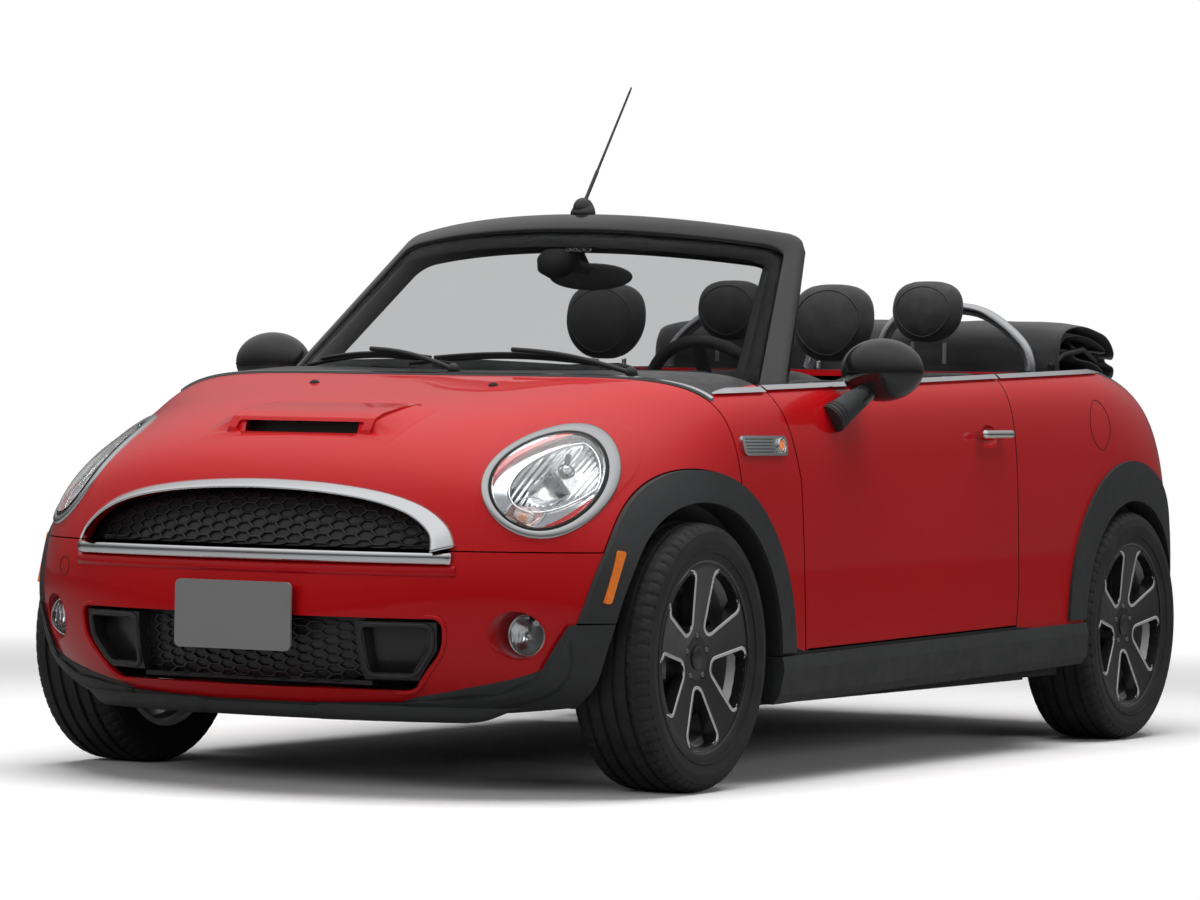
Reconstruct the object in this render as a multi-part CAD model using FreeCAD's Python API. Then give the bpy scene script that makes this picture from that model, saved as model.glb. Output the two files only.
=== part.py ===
import FreeCAD, Part
import math
import os
from FreeCAD import Vector, Matrix

# Small open four-seat convertible car. +X is forward, +Y is its left side, +Z is up, in millimetres.
# The origin is on the ground, under the middle of the car.
# The painted shell is a loft of superellipse sections that fan out round both axles.
# Panels, lamps and trim are cut from thin layers of that shell.

# Driving dimensions
LENGTH = 3729.0
WHEELBASE = 2467.0
FRONT_OVERHANG = 690.0
FRONT_TRACK = 1453.0
REAR_TRACK = 1461.0
BODY_HALF_WIDTH = 828.0
TYRE_RADIUS = 308.0
TYRE_WIDTH = 205.0
RIM_RADIUS = 235.5
RIM_SEAT_RADIUS = 216.0
SPOKES = 5
PANEL = 18.0
WALL = 60.0
DOOR_THICKNESS = 92.0
GAP = 5.0
SEATED = 0.3
PROUD = 9.0
FRONT_ARCH_INNER = 352.0
FRONT_ARCH_OUTER = 425.0
REAR_ARCH_INNER = 335.0
REAR_ARCH_OUTER = 442.0
COLUMN_ANGLE = 25.0
DECK_FRONT = 112.0
HOOP_X = 88.0
DOOR_HINGE_X = -505.0
DOOR_INNER_FROM_SIDE = 106.0
SEAT_Y = 335.0
GLASS = 6.0
LAMP_Y = 612.0
LAMP_Z = 706.0
LAMP_HALF_Y = 101.0
LAMP_HALF_Z = 121.0
BEZEL = 18.0

BEYOND = BODY_HALF_WIDTH + 72
DOOR_INNER = BODY_HALF_WIDTH - DOOR_INNER_FROM_SIDE
COWL_HALF = DOOR_INNER - GAP
DOOR_HINGE_Y = BODY_HALF_WIDTH - 8
KINGPIN_Y = FRONT_TRACK / 2 - 26.5
X_NOSE = LENGTH / 2
X_FRONT = X_NOSE - FRONT_OVERHANG
X_REAR = X_FRONT - WHEELBASE
Z_AXLE = TYRE_RADIUS

# Section fan
Z_SPINE = 250.0
TUMBLE = 0.035
FAN_DEGREES = (4, 12, 22, 30, 36, 41, 45, 49, 54, 60, 68, 78, 90)

# Belt line, a plane that rises slowly towards the rear, and the sill line below the doors
BELT_FRONT_Z = 911.0
BELT_X = X_FRONT - 190.0
BELT_SLOPE = 0.0335
SILL_FRONT_Z = 298.0
SILL_SLOPE = 0.0162

# Centreline of the nose, measured from the front axle, and the sections hung on it:
# forward of the axle, height, half width, exponent
NOSE = (
    (560, 172, 800, 2.2),
    (650, 235, 818, 2.25),
    (685, 330, 826, 2.3),
    (690, 420, 828, 2.4),
    (678, 510, 828, 2.6),
    (645, 600, 828, 2.75),
    (598, 690, 828, 2.9),
    (545, 750, 828, 3.05),
    (460, 800, 828, 3.2),
    (330, 845, 828, 3.5),
    (170, 884, 828, 4.1),
    (0, 916, 828, 5.0),
)
# Upright sections along the cabin: behind the front axle, height over the belt, exponent
CABIN = ((130, 34, 7.5), (260, 42, 10), (700, 48, 12), (1300, 48, 12), (1900, 48, 12), (2300, 46, 11))
# Centreline of the tail, measured from the rear axle: rearward, height, half width, exponent
TAIL = (
    (0, 1028, 828, 9),
    (150, 1026, 828, 7),
    (290, 1010, 828, 6),
    (385, 975, 828, 5.2),
    (450, 905, 828, 4.7),
    (500, 800, 828, 4.4),
    (535, 690, 828, 4.2),
    (558, 580, 828, 4),
    (570, 470, 828, 3.8),
    (572, 370, 826, 3.7),
    (552, 280, 820, 3.6),
    (490, 215, 800, 3.5),
)


def fx(forward):
    """A place along the car, measured forward from the front axle."""
    return X_FRONT + forward


def rx(forward):
    """A place along the car, measured forward from the rear axle."""
    return X_REAR + forward


def belt_z(x):
    """Height of the belt line at a place along the car."""
    return BELT_FRONT_Z + (BELT_X - x) * BELT_SLOPE


def sill_z(x):
    """Height of the sill line at a place along the car."""
    return SILL_FRONT_Z + (fx(-376) - x) * SILL_SLOPE


def section_poles(x, toward, reach, half_width, power, inset):
    """Poles of one arch section, a superellipse that stands on the spine."""
    reach -= inset
    half_width -= inset
    poles = []
    for side in (1, -1):
        degrees = FAN_DEGREES if side > 0 else FAN_DEGREES[-2::-1]
        for a in degrees:
            c = math.cos(math.radians(a))
            s = math.sin(math.radians(a))
            q = (c**power + s**power) ** (-1 / power)
            r = q * s * reach
            y = side * q * c * half_width * (1 - TUMBLE * (q * s) ** 2)
            poles.append(Vector(x + toward[0] * r, y, Z_SPINE + toward[1] * r))
    return poles


def clamped_knots(count, degree=3):
    """Even knots and multiplicities of a clamped spline with that many poles."""
    spans = count - degree
    return [i / spans for i in range(spans + 1)], [degree + 1] + [1] * (spans - 1) + [degree + 1]


def spline_face(rows):
    """A smooth cubic face over a grid of poles."""
    ku, mu = clamped_knots(len(rows))
    kv, mv = clamped_knots(len(rows[0]))
    surface = Part.BSplineSurface()
    surface.buildFromPolesMultsKnots(rows, mu, mv, ku, kv, False, False, 3, 3)
    return surface


def closed_solid(faces):
    """A solid from the faces that bound it."""
    shell = Part.makeShell(faces)
    shell.sewShape()
    solid = Part.makeSolid(Part.Shell(shell.Faces))
    if solid.Volume < 0:
        solid.reverse()
    return solid


def body_envelope(inset):
    """The solid inside the painted surface, moved in by inset all round."""
    rows = []
    for dx, z, w, n in NOSE:
        reach = math.hypot(dx, z - Z_SPINE)
        toward = (dx / reach, (z - Z_SPINE) / reach)
        rows.append(section_poles(X_FRONT, toward, reach, w, n, inset))
    for back, over, n in CABIN:
        reach = belt_z(fx(-back)) + over - Z_SPINE
        rows.append(section_poles(fx(-back), (0, 1), reach, BODY_HALF_WIDTH, n, inset))
    for dx, z, w, n in TAIL:
        reach = math.hypot(dx, z - Z_SPINE)
        toward = (-dx / reach, (z - Z_SPINE) / reach)
        rows.append(section_poles(X_REAR, toward, reach, w, n, inset))
    surface = spline_face(rows)
    u0, u1, v0, v1 = surface.bounds()
    chord = Part.makeRuledSurface(surface.vIso(v0).toShape(), surface.vIso(v1).toShape())
    caps = []
    for u in (u0, u1):
        arch = surface.uIso(u).toShape()
        line = Part.makeLine(arch.Vertexes[-1].Point, arch.Vertexes[0].Point)
        caps.append(Part.Face(Part.Wire([arch, line])))
    return closed_solid([surface.toShape(), chord] + caps)


envelopes = {}


def envelope(inset):
    """The body envelope at an inset, built once."""
    if inset not in envelopes:
        envelopes[inset] = body_envelope(inset)
    return envelopes[inset]


def skin(cutter, outer, inner):
    """The part of a cutter between two insets of the painted surface."""
    return cutter.common(envelope(outer)).cut(envelope(inner))


def box(x0, x1, y0, y1, z0, z1):
    """A box between limits."""
    return Part.makeBox(x1 - x0, y1 - y0, z1 - z0, Vector(x0, y0, z0))


def in_plane(axis, a, b, level):
    """A point on a plane square to an axis."""
    if axis == "x":
        return Vector(level, a, b)
    if axis == "y":
        return Vector(a, level, b)
    return Vector(a, b, level)


def prism(axis, points, low, high):
    """A prism with straight sides along an axis."""
    corners = [in_plane(axis, a, b, low) for a, b in points]
    face = Part.Face(Part.makePolygon(corners + corners[:1]))
    return face.extrude(in_plane(axis, 0, 0, high - low))


def arched_prism(axis, points, low, high):
    """A prism with a smooth curve through the points, closed by one straight side."""
    corners = [in_plane(axis, a, b, low) for a, b in points]
    curve = Part.BSplineCurve()
    curve.interpolate(corners)
    face = Part.Face(Part.Wire([curve.toShape(), Part.makeLine(corners[-1], corners[0])]))
    return face.extrude(in_plane(axis, 0, 0, high - low))


def round_prism(axis, points, low, high, radius):
    """A prism whose long edges are rounded."""
    solid = prism(axis, points, low, high)
    along = in_plane(axis, 0, 0, 1)
    edges = [e for e in solid.Edges if abs(abs(e.tangentAt(e.FirstParameter).dot(along)) - 1) < 1e-6]
    return solid.makeFillet(radius, edges)


def rectangle(a0, a1, b0, b1):
    """Corners of a rectangle for a prism."""
    return [(a0, b0), (a1, b0), (a1, b1), (a0, b1)]


def rod(start, end, radius):
    """A round rod from one point to another."""
    a = Vector(*start)
    b = Vector(*end)
    return Part.makeCylinder(radius, (b - a).Length, a, b - a)


def cone(start, end, radius, end_radius):
    """A tapered rod from one point to another."""
    a = Vector(*start)
    b = Vector(*end)
    return Part.makeCone(radius, end_radius, (b - a).Length, a, b - a)


def tube(points, radius):
    """A round bar along a smooth path."""
    curve = Part.BSplineCurve()
    curve.interpolate([Vector(*p) for p in points])
    start = curve.value(curve.FirstParameter)
    circle = Part.makeCircle(radius, start, curve.tangent(curve.FirstParameter)[0])
    return Part.Wire(curve.toShape()).makePipeShell([Part.Wire(circle)], True, True)


def oval(y, z, half_y, half_z, x0, x1):
    """An oval cylinder along X."""
    flat = Part.Ellipse(Vector(0, 0, 0), half_z, half_y).toShape()
    to_yz = FreeCAD.Rotation(Vector(0, 0, 1), Vector(0, 1, 0), Vector(1, 0, 0), "ZXY")
    flat.Placement = FreeCAD.Placement(Vector(x0, y, z), to_yz)
    return Part.Face(Part.Wire(flat)).extrude(Vector(x1 - x0, 0, 0))


def ellipsoid(centre, half_x, half_y, half_z):
    """A ball stretched along the three axes."""
    matrix = Matrix()
    matrix.scale(Vector(half_x, half_y, half_z))
    ball = Part.makeSphere(1).transformGeometry(matrix)
    ball.translate(Vector(*centre))
    return ball


def mirrored(shape):
    """The same piece on the other side of the car."""
    return shape.mirror(Vector(0, 0, 0), Vector(0, 1, 0))


def pair(shape):
    """A left piece with its right twin."""
    return Part.makeCompound([shape, mirrored(shape)])


def fused(pieces):
    """Pieces joined into one."""
    return pieces[0].fuse(pieces[1:])


def largest(shape):
    """The largest solid of a cut."""
    return max(shape.Solids, key=lambda s: s.Volume)


def spline_slab(grid, offset):
    """A curved plate: a smooth face over a grid and its copy moved by an offset."""
    front = spline_face(grid).toShape()
    back = front.copy()
    back.translate(offset)
    sides = [e.extrude(offset) for e in front.Edges]
    return closed_solid([front, back] + sides)


def across(radius, x, y0, y1):
    """A cylinder across the car at axle height."""
    return Part.makeCylinder(radius, y1 - y0, Vector(x, y0, Z_AXLE), Vector(0, 1, 0))


def arch_band(x, inner, outer):
    """The ring of both wheel arches at an axle, seen from the side."""
    ring = across(outer, x, BODY_HALF_WIDTH - 228, BEYOND).cut(across(inner, x, BODY_HALF_WIDTH - 238, BEYOND + 10))
    return pair(ring)


parts = {}

# Zones of the shell
above_belt = prism("y", [(fx(-412), belt_z(fx(-412))), (fx(-3200), belt_z(fx(-3200))), (fx(-3200), 1500),
                         (fx(-412), 1500)], -BEYOND, BEYOND)


def bonnet_edge(back, low, high):
    """Everything forward of the curved rear edge of the bonnet, moved back by a distance."""
    left = Vector(fx(-187 - back), BEYOND, low)
    middle = Vector(fx(-126 - back), 0, low)
    right = Vector(fx(-187 - back), -BEYOND, low)
    curve = Part.Arc(left, middle, right).toShape()
    far_right = Vector(fx(900), -BEYOND, low)
    far_left = Vector(fx(900), BEYOND, low)
    sides = [Part.makeLine(right, far_right), Part.makeLine(far_right, far_left), Part.makeLine(far_left, left)]
    return Part.Face(Part.Wire([curve] + sides)).extrude(Vector(0, 0, high - low))


def door_zone(grow, inner_y):
    """The left door opening seen from the side, grown by a distance."""
    top = 1200
    outline = [
        (fx(-414) + grow, top),
        (fx(-414) + grow, 930),
        (fx(-474) + grow, 708),
        (fx(-486) + grow, sill_z(fx(-486)) + 7 - grow),
        (fx(-1700) - grow, sill_z(fx(-1700)) + 7 - grow),
        (fx(-1716) - grow, 420),
        (fx(-1716) - grow, top),
    ]
    return prism("y", outline, inner_y, BEYOND)


# Wheels, drawn about the origin with the outer side towards +Y
WHEEL_FACE = 90.0
HUB_FACE = 48.0


def revolved(profile):
    """A solid turned about the Y axis from radius and offset pairs."""
    corners = [Vector(r, y, 0) for r, y in profile]
    face = Part.Face(Part.makePolygon(corners + corners[:1]))
    return face.revolve(Vector(0, 0, 0), Vector(0, 1, 0), 360)


def tyre():
    """A low tyre with round shoulders and a hollow inside."""
    half = TYRE_WIDTH / 2
    seat = RIM_SEAT_RADIUS + SEATED
    outer = [(seat, 77), (RIM_RADIUS + 0.5, 82.5), (RIM_RADIUS + 1.5, 92), (RIM_RADIUS + 8, half - 4),
             (RIM_RADIUS + 26, half),
             (TYRE_RADIUS - 26, half - 3), (TYRE_RADIUS - 9, half - 11), (TYRE_RADIUS - 2, half - 24),
             (TYRE_RADIUS, half - 45)]
    inner = [(TYRE_RADIUS - 12, 62), (TYRE_RADIUS - 24, 84), (RIM_RADIUS + 22, half - 12), (RIM_RADIUS, 72),
             (seat, 64)]
    right = [(r, -y) for r, y in reversed(outer)] + [(r, -y) for r, y in reversed(inner)]
    return revolved(outer + right + inner)


def spoke_window(index):
    """The opening between two spokes, a rounded triangle that widens to the rim."""
    angle = 2 * math.pi * (index + 0.5) / SPOKES + math.pi / 2
    outline = [(74, -13), (74, 13), (180, 71), (196, 58), (203, 30), (205, 0), (203, -30), (196, -58),
               (180, -71)]
    turned = []
    for r, t in outline:
        turned.append((r * math.cos(angle) - t * math.sin(angle), r * math.sin(angle) + t * math.cos(angle)))
    return turned


def rim():
    """A cast rim: barrel, dished face with windows, hub with its bore, bolt holes and brake disc."""
    barrel = revolved([
        (RIM_RADIUS, WHEEL_FACE), (RIM_RADIUS, WHEEL_FACE - 7), (RIM_SEAT_RADIUS, WHEEL_FACE - 12),
        (RIM_SEAT_RADIUS, 62), (204, 50), (204, -50), (RIM_SEAT_RADIUS, -62),
        (RIM_SEAT_RADIUS, 12 - WHEEL_FACE), (RIM_RADIUS, 7 - WHEEL_FACE), (RIM_RADIUS, -WHEEL_FACE),
        (208, -WHEEL_FACE), (206, -66), (196, -48), (196, 44), (206, 62), (212, WHEEL_FACE - 6),
        (222, WHEEL_FACE)])
    dish = revolved([(28, HUB_FACE), (75, HUB_FACE), (130, HUB_FACE + 2), (196, HUB_FACE + 4),
                     (208, HUB_FACE + 18), (213, WHEEL_FACE - 4), (205, WHEEL_FACE - 2), (140, WHEEL_FACE - 11),
                     (85, WHEEL_FACE - 18), (50, WHEEL_FACE - 22), (28, WHEEL_FACE - 22)])
    for index in range(SPOKES):
        dish = dish.cut(round_prism("y", spoke_window(index), 0, 120, 10))
    bolts = []
    for index in range(SPOKES):
        angle = 2 * math.pi * index / SPOKES + math.pi / 2
        x = 50 * math.cos(angle)
        z = 50 * math.sin(angle)
        bolts.append(Part.makeCylinder(9, 16, Vector(x, WHEEL_FACE - 32, z), Vector(0, 1, 0)))
    dish = dish.cut(Part.makeCompound(bolts))
    cap = revolved([(0, WHEEL_FACE - 30), (27, WHEEL_FACE - 30), (27, WHEEL_FACE - 19), (20, WHEEL_FACE - 17),
                    (0, WHEEL_FACE - 16)])
    disc = revolved([(34, HUB_FACE - SEATED), (34, 20), (75, 20), (75, 12), (147, 12), (147, 34), (80, 34),
                     (80, HUB_FACE - SEATED)])
    return Part.makeCompound([barrel.fuse(dish), cap, disc])


def placed(shape, x, track, side):
    """A wheel piece at an axle, on the left or the right."""
    moved = shape.copy()
    moved.translate(Vector(x, track / 2, Z_AXLE))
    return moved if side == "left" else mirrored(moved)


rubber = tyre()
cast = rim()
AXLES = (("front", X_FRONT, FRONT_TRACK), ("rear", X_REAR, REAR_TRACK))
for end, axle_x, track in AXLES:
    for side in ("left", "right"):
        parts["tyre_%s_%s" % (end, side)] = placed(rubber, axle_x, track, side)
        parts["rim_%s_%s" % (end, side)] = placed(cast, axle_x, track, side)

# Body shell: scuttle sides, sills, rear quarters, rear deck and the inner front arches
wheel_holes = [across(FRONT_ARCH_INNER, X_FRONT, 440, BEYOND), across(REAR_ARCH_INNER, X_REAR, 560, BEYOND)]
wheel_holes = wheel_holes + [mirrored(hole) for hole in wheel_holes]
bumper_line = 548.0
rear_line = 590.0
front_ring = pair(across(FRONT_ARCH_OUTER - 4, X_FRONT, 600, BEYOND))
rear_ring = pair(across(REAR_ARCH_OUTER - 1, X_REAR, 600, BEYOND))
nose_zone = bonnet_edge(GAP, 0, 1300).cut(front_ring)
tail_zone = box(fx(-3200), X_REAR, -BEYOND, BEYOND, 0, rear_line + 3).cut(rear_ring)
cowl_zone = box(fx(-430), fx(0), -COWL_HALF, COWL_HALF, 600, 1300)
cabin_opening = round_prism("z", rectangle(rx(DECK_FRONT), fx(-431), -740, 740), 500, 1300, 60)
under = box(fx(-3200), fx(900), -700, 700, 0, 420)
lamp_space = pair(oval(LAMP_Y, LAMP_Z, LAMP_HALF_Y - 8, LAMP_HALF_Z - 8, fx(100), fx(700)))
ring_front = box(X_FRONT, fx(900), -BEYOND, BEYOND, 0, 394)
tailgate_hole = round_prism("x", rectangle(-530, 530, rear_line + 3, 1300), rx(-900), rx(-365), 30)
beam = box(rx(REAR_ARCH_OUTER - 20), fx(-FRONT_ARCH_OUTER + 20), 640, 790, 190, 330)
shell = envelope(0).cut(envelope(WALL))
for cutter in [above_belt, nose_zone, tail_zone, cowl_zone, cabin_opening, under, ring_front, tailgate_hole, lamp_space]:
    shell = shell.cut(cutter)
shell = shell.fuse([beam, mirrored(beam)])
hole = door_zone(0, 600)
shell = shell.cut([hole, mirrored(hole)] + wheel_holes)
parts["body_shell"] = largest(shell)

# Doors, cut from the same shell, with a dark lining on the cabin side
door_cut = door_zone(-GAP, DOOR_INNER)
LINING = 40.0
door = skin(door_cut, 0, DOOR_THICKNESS - LINING).cut(above_belt)
lining = skin(door_cut, DOOR_THICKNESS - LINING, DOOR_THICKNESS).cut(above_belt)
lining = lining.cut(box(fx(-1800), fx(-1698), 500, BEYOND, 200, 1200))
armrest = round_prism("y", rectangle(fx(-1500), fx(-900), 600, 650), DOOR_INNER - 32, DOOR_INNER + 18, 12)
lining = lining.fuse(armrest)
door = largest(door)
lining = largest(lining)
recess = ellipsoid((fx(-1552), BODY_HALF_WIDTH - 16, 814), 52, 26, 30)
door = door.cut(recess)
hinge_foot = sill_z(fx(DOOR_HINGE_X)) + 7 + SEATED
door = door.fuse(rod((fx(DOOR_HINGE_X), DOOR_HINGE_Y, hinge_foot), (fx(DOOR_HINGE_X), DOOR_HINGE_Y, 340), 5))


def belt_strip(x0, x1, outer, inner, low, high):
    """A strip along the belt line, between two insets and two heights over the belt."""
    side = [(x0, belt_z(x0) + low), (x1, belt_z(x1) + low), (x1, belt_z(x1) + high), (x0, belt_z(x0) + high)]
    return skin(prism("y", side, COWL_HALF + 1, BEYOND), outer, inner)


strip = belt_strip(fx(-1715) + GAP, fx(-419), -5, 22, SEATED, 11)
handle = rod((fx(-1630), BODY_HALF_WIDTH + 4, 820), (fx(-1474), BODY_HALF_WIDTH + 4, 819), 11)
handle = handle.fuse([Part.makeSphere(11, Vector(fx(-1630), BODY_HALF_WIDTH + 4, 820)),
                      Part.makeSphere(11, Vector(fx(-1474), BODY_HALF_WIDTH + 4, 819))])
feet = [box(fx(-1622), fx(-1606), BODY_HALF_WIDTH - 58, BODY_HALF_WIDTH + 6, 812, 828),
        box(fx(-1498), fx(-1482), BODY_HALF_WIDTH - 58, BODY_HALF_WIDTH + 6, 811, 827)]
handle = handle.fuse([foot.cut(envelope(-SEATED)) for foot in feet])
mirror_at = (fx(-800), BODY_HALF_WIDTH + 36, 972)
behind_mirror = box(fx(-900), fx(-826), DOOR_INNER, BEYOND + 100, 850, 1100)
housing = ellipsoid(mirror_at, 62, 106, 76).cut(behind_mirror)
stalk = cone((fx(-668), BODY_HALF_WIDTH - 32, 852), (fx(-790), BODY_HALF_WIDTH + 24, 936), 36, 21).cut(envelope(-SEATED))
stalk = largest(stalk.cut(ellipsoid(mirror_at, 62 + SEATED, 106 + SEATED, 76 + SEATED)))
mirror_glass = ellipsoid(mirror_at, 62, 104, 74).common(box(fx(-834), fx(-826 - SEATED), DOOR_INNER, BEYOND + 100, 850, 1100))
for side, put in (("left", lambda s: s), ("right", mirrored)):
    parts["door_" + side] = put(door)
    parts["door_lining_" + side] = put(lining)
    parts["door_trim_" + side] = put(Part.makeCompound([strip, handle]))
    parts["mirror_" + side] = put(Part.makeCompound([housing, stalk, mirror_glass]))

# Bonnet with its grille mouth, lamp holes and scoop


def mouth(margin, low, x0=fx(300), x1=fx(800)):
    """The arched grille mouth seen from the front, moved in by a margin."""
    k = margin
    half = [(497 - k, low), (482 - k, 592 - 0.3 * k), (424 - 0.8 * k, 640 - 0.7 * k), (326 - 0.4 * k, 671 - k),
            (175, 690 - k)]
    curve = half + [(0, 697 - k)] + [(-y, z) for y, z in reversed(half)]
    return arched_prism("x", curve, x0, x1)


def lamp_oval(shrink, x0=fx(100), x1=fx(700)):
    """The left headlamp opening, shrunk by a distance."""
    return oval(LAMP_Y, LAMP_Z, LAMP_HALF_Y - shrink, LAMP_HALF_Z - shrink, x0, x1)


bonnet_zone = bonnet_edge(0, bumper_line + 3, 1300).cut(pair(across(FRONT_ARCH_OUTER + 3, X_FRONT, 500, BEYOND)))
bonnet = skin(bonnet_zone, 0, PANEL)
lamp_hole = lamp_oval(BEZEL - 4)
bonnet = bonnet.cut([mouth(BEZEL, 500), lamp_hole, mirrored(lamp_hole)])
bump = prism("y", [(fx(454), 790), (fx(446), 812), (fx(424), 838), (fx(390), 850), (fx(320), 862),
                   (fx(240), 872), (fx(210), 868), (fx(210), 830), (fx(380), 800)], -190, 190)
bump = bump.makeFillet(12, [e for e in bump.Edges if abs(e.CenterOfMass.y) < 1 and e.CenterOfMass.z > 835])
bump = bump.cut(envelope(PANEL - 4))
slot = round_prism("x", rectangle(-168, 168, 803, 829), fx(380), fx(520), 8)
bonnet = bonnet.fuse(bump).cut(slot)
bonnet = largest(bonnet)
parts["bonnet"] = bonnet
parts["scoop_mesh"] = round_prism("x", rectangle(-168 + SEATED, 168 - SEATED, 803 + SEATED, 829 - SEATED),
                                  fx(380) + SEATED, fx(388), 8)
arc = skin(mouth(0, bumper_line + 4).cut(mouth(BEZEL + 2, 500)), -9, -SEATED)
ring = skin(lamp_oval(0).cut(lamp_oval(BEZEL)), -8, -SEATED)
parts["bonnet_trim"] = Part.makeCompound([arc, pair(ring)])
lens = skin(lamp_oval(BEZEL - 3.7), 0, 4)
bowl = skin(lamp_oval(BEZEL - 3.7), 4 + SEATED, 75).cut(skin(lamp_oval(BEZEL + 4), 4, 66))
parts["headlamps"] = pair(largest(bowl))
parts["headlamp_lenses"] = pair(lens)

# Front bumper over the black valance
low_edge = [(BEYOND, 394), (705, 390), (639, 268), (560, 233), (349, 211), (111, 202)]


def below_edge(lift):
    """Everything below the lower edge of the front bumper, seen from the front."""
    left = [(y, z + lift) for y, z in low_edge]
    right = [(-y, z + lift) for y, z in reversed(low_edge)]
    return prism("x", left + right + [(-BEYOND, 0), (BEYOND, 0)], fx(0), fx(900))


INTAKE = [(475, 400), (470, 330), (392, 238), (-392, 238), (-470, 330), (-475, 400)]
FOG_Y = 612.0
FOG_Z = 366.0
bumper_zone = box(fx(0), fx(900), -BEYOND, BEYOND, 150, bumper_line).cut(below_edge(SEATED))
bumper_zone = bumper_zone.cut(pair(across(FRONT_ARCH_OUTER + SEATED, X_FRONT, 500, BEYOND)))
bumper = skin(bumper_zone, 0, PANEL)
intake = round_prism("x", INTAKE, fx(300), fx(900), 22)
fog_hole = pair(oval(FOG_Y, FOG_Z, 50, 54, fx(300), fx(800)))
bumper = bumper.cut([mouth(BEZEL, 500), intake, fog_hole])
parts["front_bumper"] = largest(bumper)
fog_cup = skin(oval(FOG_Y, FOG_Z, 49.7, 53.7, fx(300), fx(800)), 10, 70)
parts["fog_lamps"] = pair(largest(fog_cup))
parts["grille_bar"] = skin(round_prism("x", rectangle(-497, 497, 523, 544), fx(300), fx(900), 8), -11, -SEATED)
valance = skin(below_edge(0), -PROUD, PANEL).cut(wheel_holes)
parts["front_valance"] = largest(valance)
mesh = skin(mouth(6, 552), 32, 42)
ledge = box(fx(490) + SEATED, fx(585), -430, 430, 552, 562)
parts["grille_mesh"] = mesh.fuse(ledge)
low_mesh = skin(round_prism("x", [(y * 1.02, z) for y, z in INTAKE], fx(300), fx(900), 22), 45, 55)
low_ledge = box(fx(490) + SEATED, fx(600), -300, 300, 248, 258)
parts["lower_mesh"] = low_mesh.fuse(low_ledge)
duct = prism("x", [(462, 392), (458, 332), (408, 262), (292, 262), (285, 392)], fx(300), fx(900))
duct_hole = prism("x", [(444, 378), (440, 334), (398, 278), (308, 278), (303, 378)], fx(300), fx(900))
parts["brake_ducts"] = pair(skin(duct.cut(duct_hole), 4, 45 - SEATED))
plate_x = fx(704)
number_plate = round_prism("x", rectangle(-152.5, 152.5, 321, 473), plate_x, plate_x + 6, 14)
bracket = box(fx(300), plate_x, -70, 70, 425, 460).cut(envelope(-SEATED))
parts["number_plate"] = number_plate.fuse(largest(bracket))

# Black arch and sill claddings
front_band = skin(arch_band(X_FRONT, FRONT_ARCH_INNER, FRONT_ARCH_OUTER), -PROUD, -SEATED)
front_band = front_band.cut([box(X_FRONT, fx(900), -BEYOND, BEYOND, 0, 394 + SEATED), box(fx(-900), X_FRONT, -BEYOND, BEYOND, 0, 306)])
rear_band = skin(arch_band(X_REAR, REAR_ARCH_INNER, REAR_ARCH_OUTER), -PROUD, -SEATED)
rear_band = rear_band.cut([box(X_REAR, fx(0), -BEYOND, BEYOND, 0, sill_z(rx(400)) + 8), box(fx(-3200), X_REAR, -BEYOND, BEYOND, 0, 330)])
parts["arch_cladding"] = Part.makeCompound(front_band.Solids + rear_band.Solids)


def sill_wire(x):
    """Section of the sill cladding at a place along the car."""
    top = sill_z(x)
    low = 183 + (top - SILL_FRONT_Z)
    section = [(791, low + 4), (791, top), (836, top), (843, top - 30), (836, low + 26), (818, low + 4)]
    corners = [Vector(x, y, z) for y, z in section]
    return Part.makePolygon(corners + corners[:1])


sill = Part.makeLoft([sill_wire(fx(-340)), sill_wire(rx(320))], True, True)
sill = sill.cut(envelope(-SEATED)).cut([parts["body_shell"], wheel_holes[0], wheel_holes[1]])
parts["sill_cladding"] = pair(largest(sill))

# Rear bumper, black valance, tailgate and lamps
rear_zone = box(fx(-3200), X_REAR, -BEYOND, BEYOND, 298, rear_line).cut(pair(across(REAR_ARCH_OUTER + SEATED, X_REAR, 500, BEYOND)))
gate_swing = box(rx(-600), rx(-480), -374, 374, rear_line - 3, rear_line + 1)
parts["rear_bumper"] = largest(skin(rear_zone, 0, WALL).cut(gate_swing))
rear_low = box(fx(-3200), X_REAR, -BEYOND, BEYOND, 100, 298 - SEATED).cut(pair(across(REAR_ARCH_OUTER + SEATED, X_REAR, 500, BEYOND)))
pipe_notch = round_prism("x", rectangle(-92, 92, 120, 288), rx(-700), rx(-300), 28)
parts["rear_valance"] = largest(skin(rear_low, -4, PANEL).cut(pipe_notch))
gate_zone = round_prism("x", rectangle(-525, 525, rear_line + 8, 1300), rx(-900), rx(-370), 28)
gate = skin(gate_zone, 0, 40).cut(above_belt)
gate = largest(gate)
for y in (-410, 410):
    gate = gate.fuse(rod((rx(-545), y - 30, rear_line + 8), (rx(-545), y + 30, rear_line + 8), 8 - SEATED))
parts["tailgate"] = gate
lamp = skin(round_prism("x", rectangle(575, 700, 655, 850), rx(-900), rx(-200), 50), -7, -SEATED)
parts["tail_lamps"] = pair(largest(lamp))

# Cowl, windscreen and its frame
SCREEN_BASE_HALF = 718.0
SCREEN_TOP_HALF = 556.0
SCREEN_INWARD = Vector(-0.569, 0, -0.822)


def screen_point(u, v):
    """Outer surface of the windscreen: u runs up from the base to the header, v across it."""
    half = SCREEN_BASE_HALF + (SCREEN_TOP_HALF - SCREEN_BASE_HALF) * u
    x = fx(-238 - 597 * u) - (112 + 26 * u) * v * v
    z = 939 + 413 * u - (9 + 40 * u) * v * v
    return Vector(x, half * v, z)


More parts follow.
